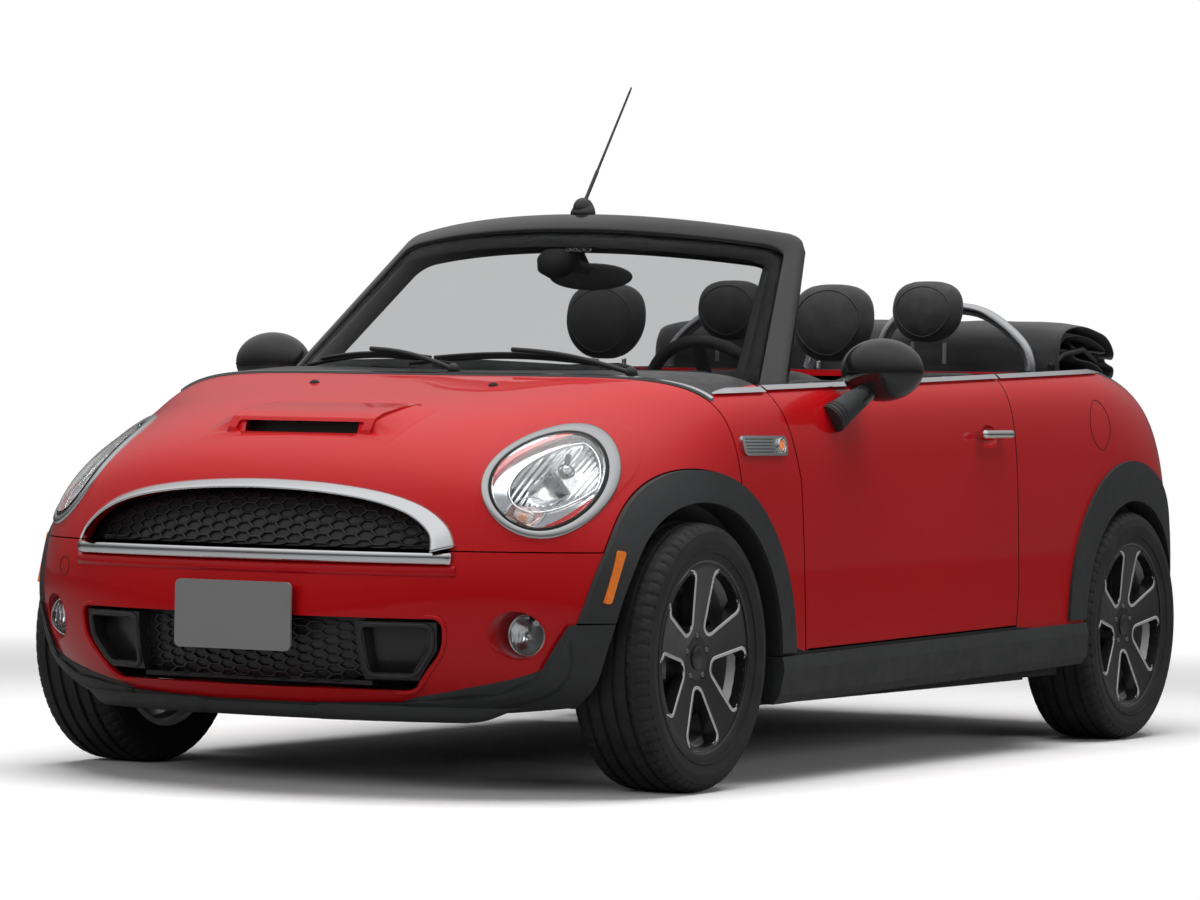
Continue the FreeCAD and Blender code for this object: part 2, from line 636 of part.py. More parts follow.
def screen_slab(u0, u1, half_v, depth, thickness):
    """A plate that follows the windscreen, sunk below its outer surface."""
    grid = []
    for i in range(5):
        row = []
        for j in range(7):
            point = screen_point(u0 + (u1 - u0) * i / 4, half_v * (j - 3) / 3)
            row.append(point + SCREEN_INWARD * depth)
        grid.append(row)
    return spline_slab(grid, SCREEN_INWARD * thickness)


frame = screen_slab(-0.15, 1, 1, 0, 40).cut(screen_slab(0.03, 0.9, 0.915, -40, 120)).cut(envelope(-SEATED))
frame = largest(frame)
parts["windscreen_frame"] = frame
glass = screen_slab(0.0312, 0.8988, 0.9142, 6, GLASS).cut(envelope(-SEATED))
parts["windscreen_glass"] = largest(glass)
base_zone = box(fx(-411), fx(0), SEATED - COWL_HALF, COWL_HALF - SEATED, 700, 1300).cut(bonnet_edge(-SEATED + 5.3, 600, 1400))
behind = Part.makeCylinder(2400, 800, Vector(fx(-330) - 2400, 0, 600), Vector(0, 0, 1))
parts["cowl_panel"] = skin(base_zone.cut(behind), 0, PANEL)
strip_zone = bonnet_edge(18, 600, 1400).cut(bonnet_edge(6, 600, 1400)).common(box(fx(-400), fx(0), -730, 730, 700, 1300))
cowl_strip = skin(strip_zone, -5, -SEATED).cut(frame)
scuttle_strip = belt_strip(fx(-409), fx(-196), -5, -SEATED, -4, 8).cut(frame)
quarter_strip = belt_strip(rx(-330), fx(-1722), -5, 22, SEATED, 11)
parts["belt_trim"] = Part.makeCompound(cowl_strip.Solids + pair(scuttle_strip).Solids + pair(quarter_strip).Solids)
indicator = skin(round_prism("y", rectangle(fx(-406), fx(-198), 766, 812), DOOR_INNER, BEYOND, 14), -7, -SEATED)
parts["side_indicators"] = pair(indicator)
marker = prism("y", [(fx(372), 436), (fx(394), 440), (fx(352), 562), (fx(330), 556)], DOOR_INNER, BEYOND)
marker = skin(marker, -PROUD - 4, -PROUD - SEATED)
parts["side_markers"] = pair(marker)
antenna_foot = ellipsoid((fx(-866), 0, 1366), 34, 22, 26)
raised_frame = frame.copy()
raised_frame.translate(Vector(0, 0, SEATED))
antenna_foot = antenna_foot.cut(screen_slab(-0.15, 1.2, 1.05, -SEATED, 160)).cut(raised_frame)
mast = cone((fx(-872), 0, 1380), (fx(-1107), 0, 1681), 4, 2.2)
parts["antenna"] = largest(antenna_foot).fuse(mast)
stem = rod((fx(-846), 0, 1265), (fx(-905), 0, 1206), 9)
sensor = box(fx(-880), fx(-820), -45, 45, 1262, 1300)
stem = stem.fuse(sensor).cut(screen_slab(-0.15, 1.2, 1.05, -100, 140 + SEATED))
inner_mirror = ellipsoid((fx(-912), 0, 1196), 18, 118, 34)
stem = largest(stem.cut(ellipsoid((fx(-912), 0, 1196), 18 + SEATED, 118, 34 + SEATED)))
parts["interior_mirror"] = Part.makeCompound([inner_mirror, stem])
wipers = []
for pivot, tip in (((fx(-172), 380, 958), (fx(-252), -180, 984)), ((fx(-172), -150, 962), (fx(-300), -640, 972))):
    arm = rod(pivot, tip, 5).fuse(rod((pivot[0], pivot[1], pivot[2] - 30), (pivot[0], pivot[1], pivot[2] + 8), 11))
    wipers.append(arm.cut(envelope(-SEATED)))
parts["wipers"] = Part.makeCompound([largest(w) for w in wipers])

# Floor, bulkheads, front rails, crash beam and wheelhouse liners
rail = box(fx(-450), fx(640), 330, 420, 430, 515).common(envelope(PANEL + SEATED))
beam_front = skin(box(fx(300), fx(800), -560, 560, 430, 515), PANEL + SEATED, 70)
plate_front = box(fx(470), fx(490), -480, 480, 240, 640).common(envelope(60))
front_post = [box(fx(440), fx(490), y - 40, y + 40, 240, 640) for y in (-375, 375)]
bulkhead = box(fx(-470), fx(-450), -640, 640, 175, 700)
upper_wall = box(fx(-470), fx(-450), -675, 675, 640, 700)
scuttle_floor = box(fx(-470), fx(-225), -675, 675, 700, 715).common(envelope(62))
scuttle_wall = box(fx(-245), fx(-225), -COWL_HALF, COWL_HALF, 700, 1000).common(envelope(PANEL + SEATED))
floor = box(rx(300), fx(-450), -639.7, 639.7, 165, 190)
tunnel = box(rx(300), fx(-450), -90, 90, 165, 330).cut(box(rx(290), fx(-440), -74, 74, 160, 314))
riser = box(rx(300), rx(320), -555, 555, 165, 372)
boot_floor = box(rx(-470), rx(320), -555, 555, 352, 372).common(envelope(WALL + 2))
boot_wall = box(rx(-470), rx(-450), -555, 555, 372 + SEATED, 560).common(envelope(62))
liners = []
for axle_x, radius, y0, y1 in ((X_FRONT, FRONT_ARCH_INNER + 1, 440, 766), (X_REAR, REAR_ARCH_INNER + 1, 555, 766)):
    shell_ring = across(radius + 12, axle_x, y0, y1).cut(across(radius, axle_x, y0 - 10, y1 + 10))
    upper_half = box(axle_x - 500, axle_x + 500, y0, y1, 420, 900).common(envelope(WALL + 2))
    liners.append(shell_ring.common(upper_half.cut(lamp_oval(0, fx(-100)))))
liners[1] = liners[1].fuse(across(REAR_ARCH_INNER + 13, X_REAR, 545, 556).common(box(rx(-450), rx(450), 500, 600, 352, 900)))
front_link = box(fx(-445), fx(-360), 420, 640, 430, 470)
tower = box(fx(-40), fx(40), 420, 560, 662, 700)
upper_rail = box(fx(-450), fx(-300), 440, 480, 500, 640)
structure = [floor, tunnel, bulkhead, upper_wall, scuttle_floor, scuttle_wall, riser, boot_floor,
             beam_front, plate_front, rail, mirrored(rail)] + front_post
for piece in (liners[0], liners[1], front_link, upper_rail):
    structure += [piece, mirrored(piece)]
rail_post = box(fx(-60), fx(60), 400, 440, 430, 680)
structure += [rail_post, mirrored(rail_post)]
pan = fused(structure)
pan = largest(pan)
parts["floor_pan"] = Part.makeCompound(pan.Solids + largest(boot_wall).cut(pan).Solids)

# Cabin
dash_side = [(fx(-345), 715 + SEATED), (fx(-345), 905), (fx(-420), 925), (fx(-640), 915), (fx(-722), 880), (fx(-748), 815),
             (fx(-736), 700), (fx(-640), 610), (fx(-471), 600), (fx(-471), 715 + SEATED)]
dash = prism("y", [(x - 1, z) for x, z in dash_side], -678, 678).cut(envelope(0).cut(envelope(64)))
hood = round_prism("x", rectangle(280, 460, 880, 962), fx(-700), fx(-480), 24)
wheel_centre = Vector(fx(-870), SEAT_Y + 35, 880)
wheel_axis = Vector(-math.cos(math.radians(COLUMN_ANGLE)), 0, math.sin(math.radians(COLUMN_ANGLE)))
column = rod(wheel_centre - wheel_axis * 190, wheel_centre - wheel_axis * 27, 26)
parts["dashboard"] = largest(dash.fuse(hood).fuse(column))
ring_wheel = Part.makeTorus(172, 15, wheel_centre, wheel_axis)
boss = Part.makeCylinder(58, 34, wheel_centre - wheel_axis * 26, wheel_axis)
spokes = []
for angle in (0, 180, 270):
    bar = Part.makeBox(170, 34, 12, Vector(0, -17, -12))
    bar.rotate(Vector(0, 0, 0), Vector(0, 0, 1), angle)
    bar.Placement = FreeCAD.Placement(wheel_centre, FreeCAD.Rotation(Vector(0, 1, 0), Vector(0, 0, 1), wheel_axis, "ZXY")) * bar.Placement
    spokes.append(bar)
parts["steering_wheel"] = ring_wheel.fuse([boss] + spokes)




def cushion(x0, x1, y0, y1, z0, z1, radius):
    """A soft block with rounded edges."""
    block = box(x0, x1, y0, y1, z0, z1)
    return block.makeFillet(radius, block.Edges)


def leaned(shape, x, z, degrees):
    """A shape turned back about a line across the car."""
    turned = shape.copy()
    turned.rotate(Vector(x, 0, z), Vector(0, 1, 0), -degrees)
    return turned


def forward_copy(shape):
    """A copy moved forward by the seating gap."""
    moved = shape.copy()
    moved.translate(Vector(SEATED, 0, 0))
    return moved


def posts(back, rest, x, y, low, high):
    """The two steel posts between a backrest and its head restraint."""
    pins = []
    for side in (-1, 1):
        pin = rod((x, y + side * 48, low), (x, y + side * 48, high), 6)
        below = back.copy()
        below.translate(Vector(0, 0, SEATED))
        above = rest.copy()
        above.translate(Vector(0, 0, -SEATED))
        pins.append(largest(pin.cut(below).cut(above)))
    return pins


front_back = cushion(fx(-1600), fx(-1501), SEAT_Y - 235, SEAT_Y + 235, 330, 990, 38)
front_back = leaned(front_back, fx(-1501), 330, 7)
front_cushion = cushion(fx(-1550), fx(-1010), SEAT_Y - 240, SEAT_Y + 240, 320, 440, 34)
front_cushion = largest(front_cushion.cut(forward_copy(front_back)))
front_rest = cushion(fx(-1655), fx(-1552), SEAT_Y - 115, SEAT_Y + 115, 998, 1200, 42)
front_pins = posts(front_back, front_rest, fx(-1622), SEAT_Y, 960, 1030)
base = box(fx(-1470), fx(-1040), SEAT_Y - 200, SEAT_Y + 200, 225, 320 - SEATED)
rails = [box(fx(-1480), fx(-1030), SEAT_Y + y - 20, SEAT_Y + y + 20, 190 + SEATED, 225) for y in (-170, 170)]
parts["front_seats"] = Part.makeCompound([pair(s) for s in (front_cushion, front_back, front_rest)])
parts["seat_bases"] = pair(base.fuse(rails))
rear_cushion = cushion(rx(245), rx(620), -540, 540, 372 + SEATED, 500, 34)
rear_back = leaned(cushion(rx(190), rx(285), -540, 540, 480, 1010, 34), rx(285), 480, 6)
rear_cushion = rear_cushion.cut(forward_copy(rear_back))
rear_rests = [cushion(rx(160), rx(255), y - 102, y + 102, 1060, 1227, 38) for y in (-298, 298)]
rear_pins = []
for rest, y in zip(rear_rests, (-298, 298)):
    rear_pins += posts(rear_back, rest, rx(196), y, 985, 1090)
parts["rear_seat"] = Part.makeCompound([largest(rear_cushion), rear_back] + rear_rests)
parts["rest_posts"] = Part.makeCompound(front_pins + [mirrored(pin) for pin in front_pins] + rear_pins)
hoops = []
for turn in (1, -1):
    foot = belt_z(rx(HOOP_X)) + 4
    path = [(rx(HOOP_X), turn * y, z) for y, z in ((118, foot), (118, 1080), (178, 1140), (300, 1156), (400, 1146),
                                                (490, 1094), (545, 1030), (552, foot))]
    below_deck = box(rx(0), rx(160), -700, 700, 850, foot - 4 + 2 * SEATED)
    hoops.append(tube(path, 16).cut(below_deck))
parts["roll_hoops"] = Part.makeCompound(hoops)
stack_side = [(rx(60), belt_z(rx(60)) + SEATED), (rx(52), 1062), (rx(-10), 1124), (rx(-180), 1134), (rx(-290), 1100),
              (rx(-338), 1040), (rx(-330), belt_z(rx(-330)) + SEATED)]
stack = arched_prism("y", stack_side, -640, 640)
parts["soft_top"] = stack

# Running gear
parts["engine_block"] = box(fx(-40), fx(380), -330 + SEATED, 330 - SEATED, 300, 760)
subframe = box(fx(-260), fx(-200), -330, 330, 180, 230)
subframe_leg = box(fx(-450) + SEATED, fx(-220), 240, 330, 180, 230)
rack_bracket = box(fx(-210), fx(-84), 180, 220, 226, 274)
rack_bore = rod((fx(-84), -400, 250), (fx(-84), 400, 250), 16.4)
rack_sleeve = rod((fx(-84), 180, 250), (fx(-84), 300, 250), 23)
arm = prism("z", [(fx(-258), 292), (fx(-20), 704), (fx(20), 704), (fx(20), 640), (fx(-40), 300)], 176, 190)
stud = rod((X_FRONT, KINGPIN_Y, 186), (X_FRONT, KINGPIN_Y, 200 - SEATED), 12)
link = box(fx(-16), fx(16), 560, 712, 436, 448)
link_stud = rod((X_FRONT, KINGPIN_Y, 424 + SEATED), (X_FRONT, KINGPIN_Y, 440), 12)
strut = rod((X_FRONT, 560, 430), (X_FRONT, 560, 659.7), 26)
rear_arm = prism("z", [(rx(300) - SEATED, 555), (rx(300) - SEATED, 480), (rx(60), 480), (rx(-60), 520), (rx(-60), 600),
                       (rx(60), 600)], 280, 320)
rear_hub = across(60, X_REAR, 580, REAR_TRACK / 2 + 20 - SEATED)
rear_stub = across(34 - SEATED, X_REAR, REAR_TRACK / 2, REAR_TRACK / 2 + HUB_FACE - SEATED)
front_frame = [subframe]
for piece in (subframe_leg, arm, stud, rack_bracket.fuse(rack_sleeve).cut(rack_bore)):
    front_frame += [piece, mirrored(piece)]
parts["suspension"] = Part.makeCompound([fused(front_frame), pair(fused([strut, link, link_stud])),
                                         pair(fused([rear_arm, rear_hub, rear_stub]))])
exhaust = [box(rx(-430), rx(-200), -330, 330, 228, 340), box(rx(-340), rx(-310), -200, 200, 330, 352 - SEATED)]
for y in (-45, 45):
    exhaust.append(rod((rx(-420), y, 248), (rx(-592), y, 248), 34))
parts["exhaust"] = fused(exhaust)

# Steered pieces
upright = box(fx(-38), fx(38), KINGPIN_Y - 30, KINGPIN_Y + 12, 200, 424)
hub = across(58, X_FRONT, KINGPIN_Y - 20, FRONT_TRACK / 2 + 20 - SEATED)
stub = across(34 - SEATED, X_FRONT, FRONT_TRACK / 2, FRONT_TRACK / 2 + HUB_FACE - SEATED)
steer_arm = box(fx(-98), fx(-30), KINGPIN_Y - 22, KINGPIN_Y + 8, 270, 292)
caliper_foot = box(fx(30), fx(160), KINGPIN_Y - 10, KINGPIN_Y + 20, 262, 354)
caliper = box(fx(100), fx(168), KINGPIN_Y + 10, KINGPIN_Y + 69, 262, 354)
rotor = across(151, X_FRONT, FRONT_TRACK / 2 + 8, FRONT_TRACK / 2 + 38)
knuckle = fused([upright, hub, stub, steer_arm, caliper_foot, caliper.cut(rotor)])
parts["knuckle_left"] = knuckle
parts["knuckle_right"] = mirrored(knuckle)
rack = rod((fx(-84), -420, 250), (fx(-84), 420, 250), 16)
tie = rod((fx(-84), 400, 250), (fx(-84), KINGPIN_Y - 6, 250), 9)
eye = rod((fx(-84), KINGPIN_Y - 7, 238), (fx(-84), KINGPIN_Y - 7, 264), 15)
parts["steering_rack"] = fused([rack, tie, eye, mirrored(tie), mirrored(eye)])

os.makedirs("parts", exist_ok=True)
for name, shape in parts.items():
    shape.exportStep("parts/%s.step" % name)
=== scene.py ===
import math

import bmesh
import bpy
import numpy as np
from mathutils import Matrix, Vector, noise
from mathutils.bvhtree import BVHTree


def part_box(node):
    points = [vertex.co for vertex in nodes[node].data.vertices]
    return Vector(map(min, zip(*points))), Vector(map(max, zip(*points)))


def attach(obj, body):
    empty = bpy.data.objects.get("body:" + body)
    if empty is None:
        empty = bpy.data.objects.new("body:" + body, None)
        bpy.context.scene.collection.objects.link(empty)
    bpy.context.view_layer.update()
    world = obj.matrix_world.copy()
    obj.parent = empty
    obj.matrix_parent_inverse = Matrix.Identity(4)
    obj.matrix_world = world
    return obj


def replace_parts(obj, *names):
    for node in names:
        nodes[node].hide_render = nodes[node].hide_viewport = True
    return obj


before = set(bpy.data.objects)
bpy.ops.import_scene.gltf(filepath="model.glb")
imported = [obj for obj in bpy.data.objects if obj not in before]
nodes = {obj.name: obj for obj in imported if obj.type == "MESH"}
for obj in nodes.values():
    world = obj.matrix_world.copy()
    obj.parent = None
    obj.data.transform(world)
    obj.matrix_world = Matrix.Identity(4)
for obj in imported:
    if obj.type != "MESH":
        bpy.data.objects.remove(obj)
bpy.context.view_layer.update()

scene = bpy.context.scene
UP = Vector((0, 0, 1))

# Main places, in metres
FRONT_AXLE = 1.1745
REAR_AXLE = -1.2925
AXLE_Z = 0.308
FRONT_WHEEL_Y = 0.7265
REAR_WHEEL_Y = 0.7305
LAMP = Vector((FRONT_AXLE + 0.393, 0.612, 0.706))
FOG = Vector((FRONT_AXLE + 0.512, 0.612, 0.366))
SEAT_Y = 0.335
SIDES = (("left", 1), ("right", -1))


def fx(d):
    """Length coordinate measured from the front axle, in millimetres forward."""
    return FRONT_AXLE + d / 1000


def rx(d):
    """Length coordinate measured from the rear axle, in millimetres forward."""
    return REAR_AXLE + d / 1000


# Materials

def new_tree(name):
    """A material with an empty node tree: the material, its tree and its Principled shader."""
    material = bpy.data.materials.new(name)
    material.use_nodes = True
    tree = material.node_tree
    tree.nodes.clear()
    output = tree.nodes.new("ShaderNodeOutputMaterial")
    shader = tree.nodes.new("ShaderNodeBsdfPrincipled")
    tree.links.new(shader.outputs[0], output.inputs[0])
    return material, tree, shader


def set_sockets(shader, sockets):
    """Sets shader inputs that are the same everywhere; an underscore stands for a space."""
    for key, value in sockets.items():
        shader.inputs[key.replace("_", " ")].default_value = value


def object_coords(tree):
    """Coordinates that stay with the piece."""
    return tree.nodes.new("ShaderNodeTexCoord").outputs["Object"]


def noise_node(tree, scale, detail=3.0, vector=None, roughness=0.5):
    """A noise value between 0 and 1."""
    node = tree.nodes.new("ShaderNodeTexNoise")
    node.inputs["Scale"].default_value = scale
    node.inputs["Detail"].default_value = detail
    node.inputs["Roughness"].default_value = roughness
    tree.links.new(vector if vector is not None else object_coords(tree), node.inputs["Vector"])
    return node.outputs["Fac"]


def ranged(tree, value, low, high, start=0.0, end=1.0):
    """A value mapped from start..end to low..high."""
    node = tree.nodes.new("ShaderNodeMapRange")
    node.inputs["From Min"].default_value = start
    node.inputs["From Max"].default_value = end
    node.inputs["To Min"].default_value = low
    node.inputs["To Max"].default_value = high
    tree.links.new(value, node.inputs["Value"])
    return node.outputs["Result"]


def mixed(tree, factor, first, second):
    """Colour mix: each side is a colour or a socket."""
    node = tree.nodes.new("ShaderNodeMix")
    node.data_type = "RGBA"
    if isinstance(factor, float):
        node.inputs[0].default_value = factor
    else:
        tree.links.new(factor, node.inputs[0])
    for socket, value in ((node.inputs[6], first), (node.inputs[7], second)):
        if isinstance(value, tuple):
            socket.default_value = (*value, 1)
        else:
            tree.links.new(value, socket)
    return node.outputs[2]


def bumped(tree, shader, heights):
    """Bump nodes in a row: (height socket, strength, distance in metres)."""
    normal = None
    for height, strength, distance in heights:
        node = tree.nodes.new("ShaderNodeBump")
        node.inputs["Strength"].default_value = strength
        node.inputs["Distance"].default_value = distance
        tree.links.new(height, node.inputs["Height"])
        if normal is not None:
            tree.links.new(normal, node.inputs["Normal"])
        normal = node.outputs["Normal"]
    tree.links.new(normal, shader.inputs["Normal"])


def finish(name, colour, rough, vary=0.08, scale=9.0, rough_vary=0.05, grain=600.0, bump=0.15, depth=0.0002,
           **sockets):
    """A general finish: colour and roughness vary softly, and a fine grain lies on it."""
    material, tree, shader = new_tree(name)
    patches = noise_node(tree, scale, 4.0)
    darker = tuple(c * (1 - vary) for c in colour)
    lighter = tuple(min(1.0, c * (1 + vary)) for c in colour)
    tree.links.new(mixed(tree, patches, darker, lighter), shader.inputs["Base Color"])
    tree.links.new(ranged(tree, noise_node(tree, scale * 3, 3.0), max(0.01, rough - rough_vary),
                          rough + rough_vary, 0.3, 0.7), shader.inputs["Roughness"])
    bumped(tree, shader, [(noise_node(tree, grain, 2.0), bump, depth)])
    set_sockets(shader, sockets)
    return material


def car_paint():
    """Red under clear lacquer: fine flakes, faint waves in the lacquer."""
    material, tree, shader = new_tree("paint_red")
    flakes = ranged(tree, noise_node(tree, 2600.0, 1.0), 0.0, 1.0, 0.35, 0.65)
    soft = mixed(tree, noise_node(tree, 1.4, 2.0), (0.41, 0.0022, 0.0045), (0.47, 0.0032, 0.0062))
    tree.links.new(mixed(tree, ranged(tree, flakes, 0.0, 0.10), soft, (0.60, 0.010, 0.016)),
                   shader.inputs["Base Color"])
    tree.links.new(ranged(tree, flakes, 0.36, 0.46), shader.inputs["Roughness"])
    bumped(tree, shader, [(noise_node(tree, 190.0, 1.0), 0.02, 0.0002)])
    shader.inputs["Specular IOR Level"].default_value = 0.12
    shader.inputs["Coat Weight"].default_value = 0.75
    shader.inputs["Coat Roughness"].default_value = 0.035
    shader.inputs["Coat IOR"].default_value = 1.36
    return material


def grained(name, colour, rough, cell=420.0, strength=0.35, depth=0.0003, wear=0.35, **sockets):
    """Moulded plastic with a leathery grain, paler where it is rubbed."""
    material, tree, shader = new_tree(name)
    cells = tree.nodes.new("ShaderNodeTexVoronoi")
    cells.inputs["Scale"].default_value = cell
    tree.links.new(object_coords(tree), cells.inputs["Vector"])
    patches = noise_node(tree, 5.0, 5.0)
    pale = tuple(c * (1 + wear) for c in colour)
    tree.links.new(mixed(tree, ranged(tree, patches, 0.0, 1.0, 0.3, 0.75), colour, pale),
                   shader.inputs["Base Color"])
    tree.links.new(ranged(tree, noise_node(tree, 30.0, 3.0), rough - 0.07, rough + 0.06, 0.3, 0.7),
                   shader.inputs["Roughness"])
    bumped(tree, shader, [(cells.outputs["Distance"], strength, depth),
                          (noise_node(tree, cell * 3, 2.0), 0.2, depth / 3)])
    set_sockets(shader, sockets)
    return material


def leather():
    """Black leather: pores, soft creases and a faint sheen."""
    material, tree, shader = new_tree("leather_black")
    pores = tree.nodes.new("ShaderNodeTexVoronoi")
    pores.inputs["Scale"].default_value = 520.0
    tree.links.new(object_coords(tree), pores.inputs["Vector"])
    creases = noise_node(tree, 26.0, 5.0, roughness=0.62)
    tree.links.new(mixed(tree, ranged(tree, creases, 0.0, 1.0, 0.35, 0.7), (0.018, 0.018, 0.019),
                         (0.034, 0.034, 0.036)), shader.inputs["Base Color"])
    tree.links.new(ranged(tree, noise_node(tree, 60.0, 3.0), 0.42, 0.56, 0.3, 0.7),
                   shader.inputs["Roughness"])
    bumped(tree, shader, [(pores.outputs["Distance"], 0.45, 0.0004), (creases, 0.35, 0.0016)])
    shader.inputs["Sheen Weight"].default_value = 0.08
    return material


def woven(name, colour, pitch=900.0, rough=0.9):
    """A tight weave: two crossed sets of threads, with fading on the high places."""
    material, tree, shader = new_tree(name)
    coords = object_coords(tree)
    heights = []
    for axis in ("X", "Y", "Z"):
        wave = tree.nodes.new("ShaderNodeTexWave")
        wave.bands_direction = axis
        wave.inputs["Scale"].default_value = pitch / 6.28
        wave.inputs["Distortion"].default_value = 0.6
        wave.inputs["Detail"].default_value = 1.0
        tree.links.new(coords, wave.inputs["Vector"])
        heights.append((wave.outputs["Fac"], 0.25, 0.0004))
    fade = noise_node(tree, 11.0, 5.0)
    pale = tuple(min(1.0, c * 1.7) for c in colour)
    tree.links.new(mixed(tree, ranged(tree, fade, 0.0, 1.0, 0.35, 0.75), colour, pale),
                   shader.inputs["Base Color"])
    tree.links.new(ranged(tree, fade, rough - 0.08, min(1.0, rough + 0.05)), shader.inputs["Roughness"])
    heights.append((noise_node(tree, 60.0, 3.0), 0.3, 0.0012))
    bumped(tree, shader, heights)
    shader.inputs["Sheen Weight"].default_value = 0.25
    shader.inputs["Sheen Roughness"].default_value = 0.6
    return material


def glassy(name, colour, rough=0.02, ior=1.5, ripple=0.03, scale=30.0, vary=0.03):
    """Clear or tinted glass with a faint ripple."""
    material, tree, shader = new_tree(name)
    darker = tuple(c * (1 - vary) for c in colour)
    tree.links.new(mixed(tree, noise_node(tree, 4.0, 2.0), darker, colour), shader.inputs["Base Color"])
    tree.links.new(ranged(tree, noise_node(tree, 25.0, 2.0), rough, rough + 0.02), shader.inputs["Roughness"])
    bumped(tree, shader, [(noise_node(tree, scale, 1.0), ripple, 0.0002)])
    shader.inputs["Transmission Weight"].default_value = 1.0
    shader.inputs["IOR"].default_value = ior
    return material


def tyre_rubber():
    """Tyre rubber, a little paler with dust."""
    material, tree, shader = new_tree("tyre_rubber")
    dust = noise_node(tree, 16.0, 6.0)
    tree.links.new(mixed(tree, ranged(tree, dust, 0.0, 1.0, 0.4, 0.75), (0.013, 0.013, 0.014),
                         (0.026, 0.0255, 0.025)), shader.inputs["Base Color"])
    tree.links.new(ranged(tree, dust, 0.55, 0.8), shader.inputs["Roughness"])
    bumped(tree, shader, [(noise_node(tree, 900.0, 2.0), 0.3, 0.0002),
                          (noise_node(tree, 70.0, 2.0), 0.12, 0.0006)])
    return material


def brushed(name, colour, rough, axis_scale=(60.0, 900.0, 60.0), **sockets):
    """Machined or satin metal, with fine turning lines."""
    material, tree, shader = new_tree(name)
    mapping = tree.nodes.new("ShaderNodeMapping")
    mapping.inputs["Scale"].default_value = axis_scale
    tree.links.new(object_coords(tree), mapping.inputs["Vector"])
    lines = noise_node(tree, 3.0, 3.0, mapping.outputs[0])
    darker = tuple(c * 0.86 for c in colour)
    tree.links.new(mixed(tree, lines, darker, colour), shader.inputs["Base Color"])
    tree.links.new(ranged(tree, lines, rough - 0.05, rough + 0.07, 0.3, 0.7), shader.inputs["Roughness"])
    bumped(tree, shader, [(lines, 0.12, 0.0001)])
    shader.inputs["Metallic"].default_value = 1.0
    set_sockets(shader, sockets)
    return material


PAINT = car_paint()
CLADDING = grained("plastic_cladding", (0.024, 0.025, 0.026), 0.56, Specular_IOR_Level=0.4)
GRILLE = finish("plastic_grille", (0.016, 0.016, 0.017), 0.3, grain=900.0, Specular_IOR_Level=0.5)
SHADOW = finish("plastic_dark", (0.006, 0.006, 0.0065), 0.75, grain=500.0)
GLOSS = finish("lacquer_black", (0.010, 0.010, 0.011), 0.16, rough_vary=0.03, bump=0.03, Coat_Weight=0.5,
               Coat_Roughness=0.06)
SATIN = finish("lacquer_satin_black", (0.020, 0.020, 0.021), 0.38, bump=0.08)
CHROME = finish("chrome", (0.82, 0.83, 0.85), 0.08, vary=0.02, rough_vary=0.03, bump=0.02, Metallic=1.0)
SATIN_CHROME = finish("chrome_satin", (0.62, 0.63, 0.64), 0.24, vary=0.03, bump=0.05, Metallic=1.0)
REFLECTOR = finish("reflector", (0.30, 0.31, 0.32), 0.16, vary=0.05, rough_vary=0.04, bump=0.03, Metallic=1.0)
RIM_GREY = finish("rim_grey", (0.045, 0.045, 0.048), 0.33, vary=0.06, rough_vary=0.05, Metallic=0.65,
                  Coat_Weight=0.4, Coat_Roughness=0.1)
RIM_BRIGHT = brushed("rim_machined", (0.95, 0.96, 0.97), 0.42)
BARREL = finish("rim_silver", (0.50, 0.50, 0.51), 0.34, vary=0.05, Metallic=0.7)
DARK_CHROME = finish("chrome_dark", (0.16, 0.165, 0.17), 0.14, vary=0.06, bump=0.05, Metallic=1.0)
PALE_LENS = finish("lens_pale", (0.42, 0.30, 0.28), 0.12, vary=0.12, scale=90.0, grain=260.0, bump=0.3,
                   Metallic=0.5)
STEEL = brushed("disc_steel", (0.42, 0.42, 0.43), 0.34, (500.0, 30.0, 500.0))
CAST_IRON = finish("cast_metal", (0.22, 0.22, 0.23), 0.5, vary=0.2, scale=30.0, bump=0.4, Metallic=0.7)
UNDERBODY = finish("underseal", (0.014, 0.014, 0.014), 0.8, vary=0.3, scale=14.0, bump=0.5, grain=160.0,
                   depth=0.001)
RUBBER = tyre_rubber()
SEAL = finish("rubber_seal", (0.012, 0.012, 0.012), 0.62, bump=0.2)
LEATHER = leather()
SOFT_TOUCH = grained("plastic_interior", (0.020, 0.020, 0.021), 0.62, cell=700.0, strength=0.3, wear=0.3)
SILVER_TRIM = finish("plastic_silver", (0.42, 0.42, 0.43), 0.3, vary=0.04, Metallic=0.8)
CARPET = woven("carpet_black", (0.012, 0.012, 0.013), pitch=420.0, rough=0.95)
CANVAS = woven("canvas_black", (0.011, 0.011, 0.012), pitch=1300.0)
WINDSCREEN = glassy("glass_screen", (0.50, 0.505, 0.51), rough=0.0, ior=1.03, ripple=0.0)
CLEAR = glassy("glass_clear", (0.97, 0.975, 0.98), ior=1.35, ripple=0.02)
PLATE = finish("plate_grey", (0.215, 0.215, 0.215), 0.42, vary=0.03, bump=0.05)
AMBER_SOLID = finish("amber_backing", (0.85, 0.20, 0.02), 0.35, vary=0.25, scale=120.0, bump=0.5, grain=300.0)
RED_LENS = finish("lens_red", (0.20, 0.0020, 0.0030), 0.12, vary=0.12, scale=60.0, bump=0.3, grain=260.0,
                  Coat_Weight=0.8, Coat_Roughness=0.03)
REVERSE_LENS = finish("lens_white", (0.60, 0.61, 0.62), 0.12, vary=0.12, scale=60.0, bump=0.3, grain=260.0,
                  Coat_Weight=0.8, Coat_Roughness=0.03)
MIRROR = finish("mirror_glass", (0.72, 0.74, 0.76), 0.02, vary=0.02, rough_vary=0.01, bump=0.01, Metallic=1.0)
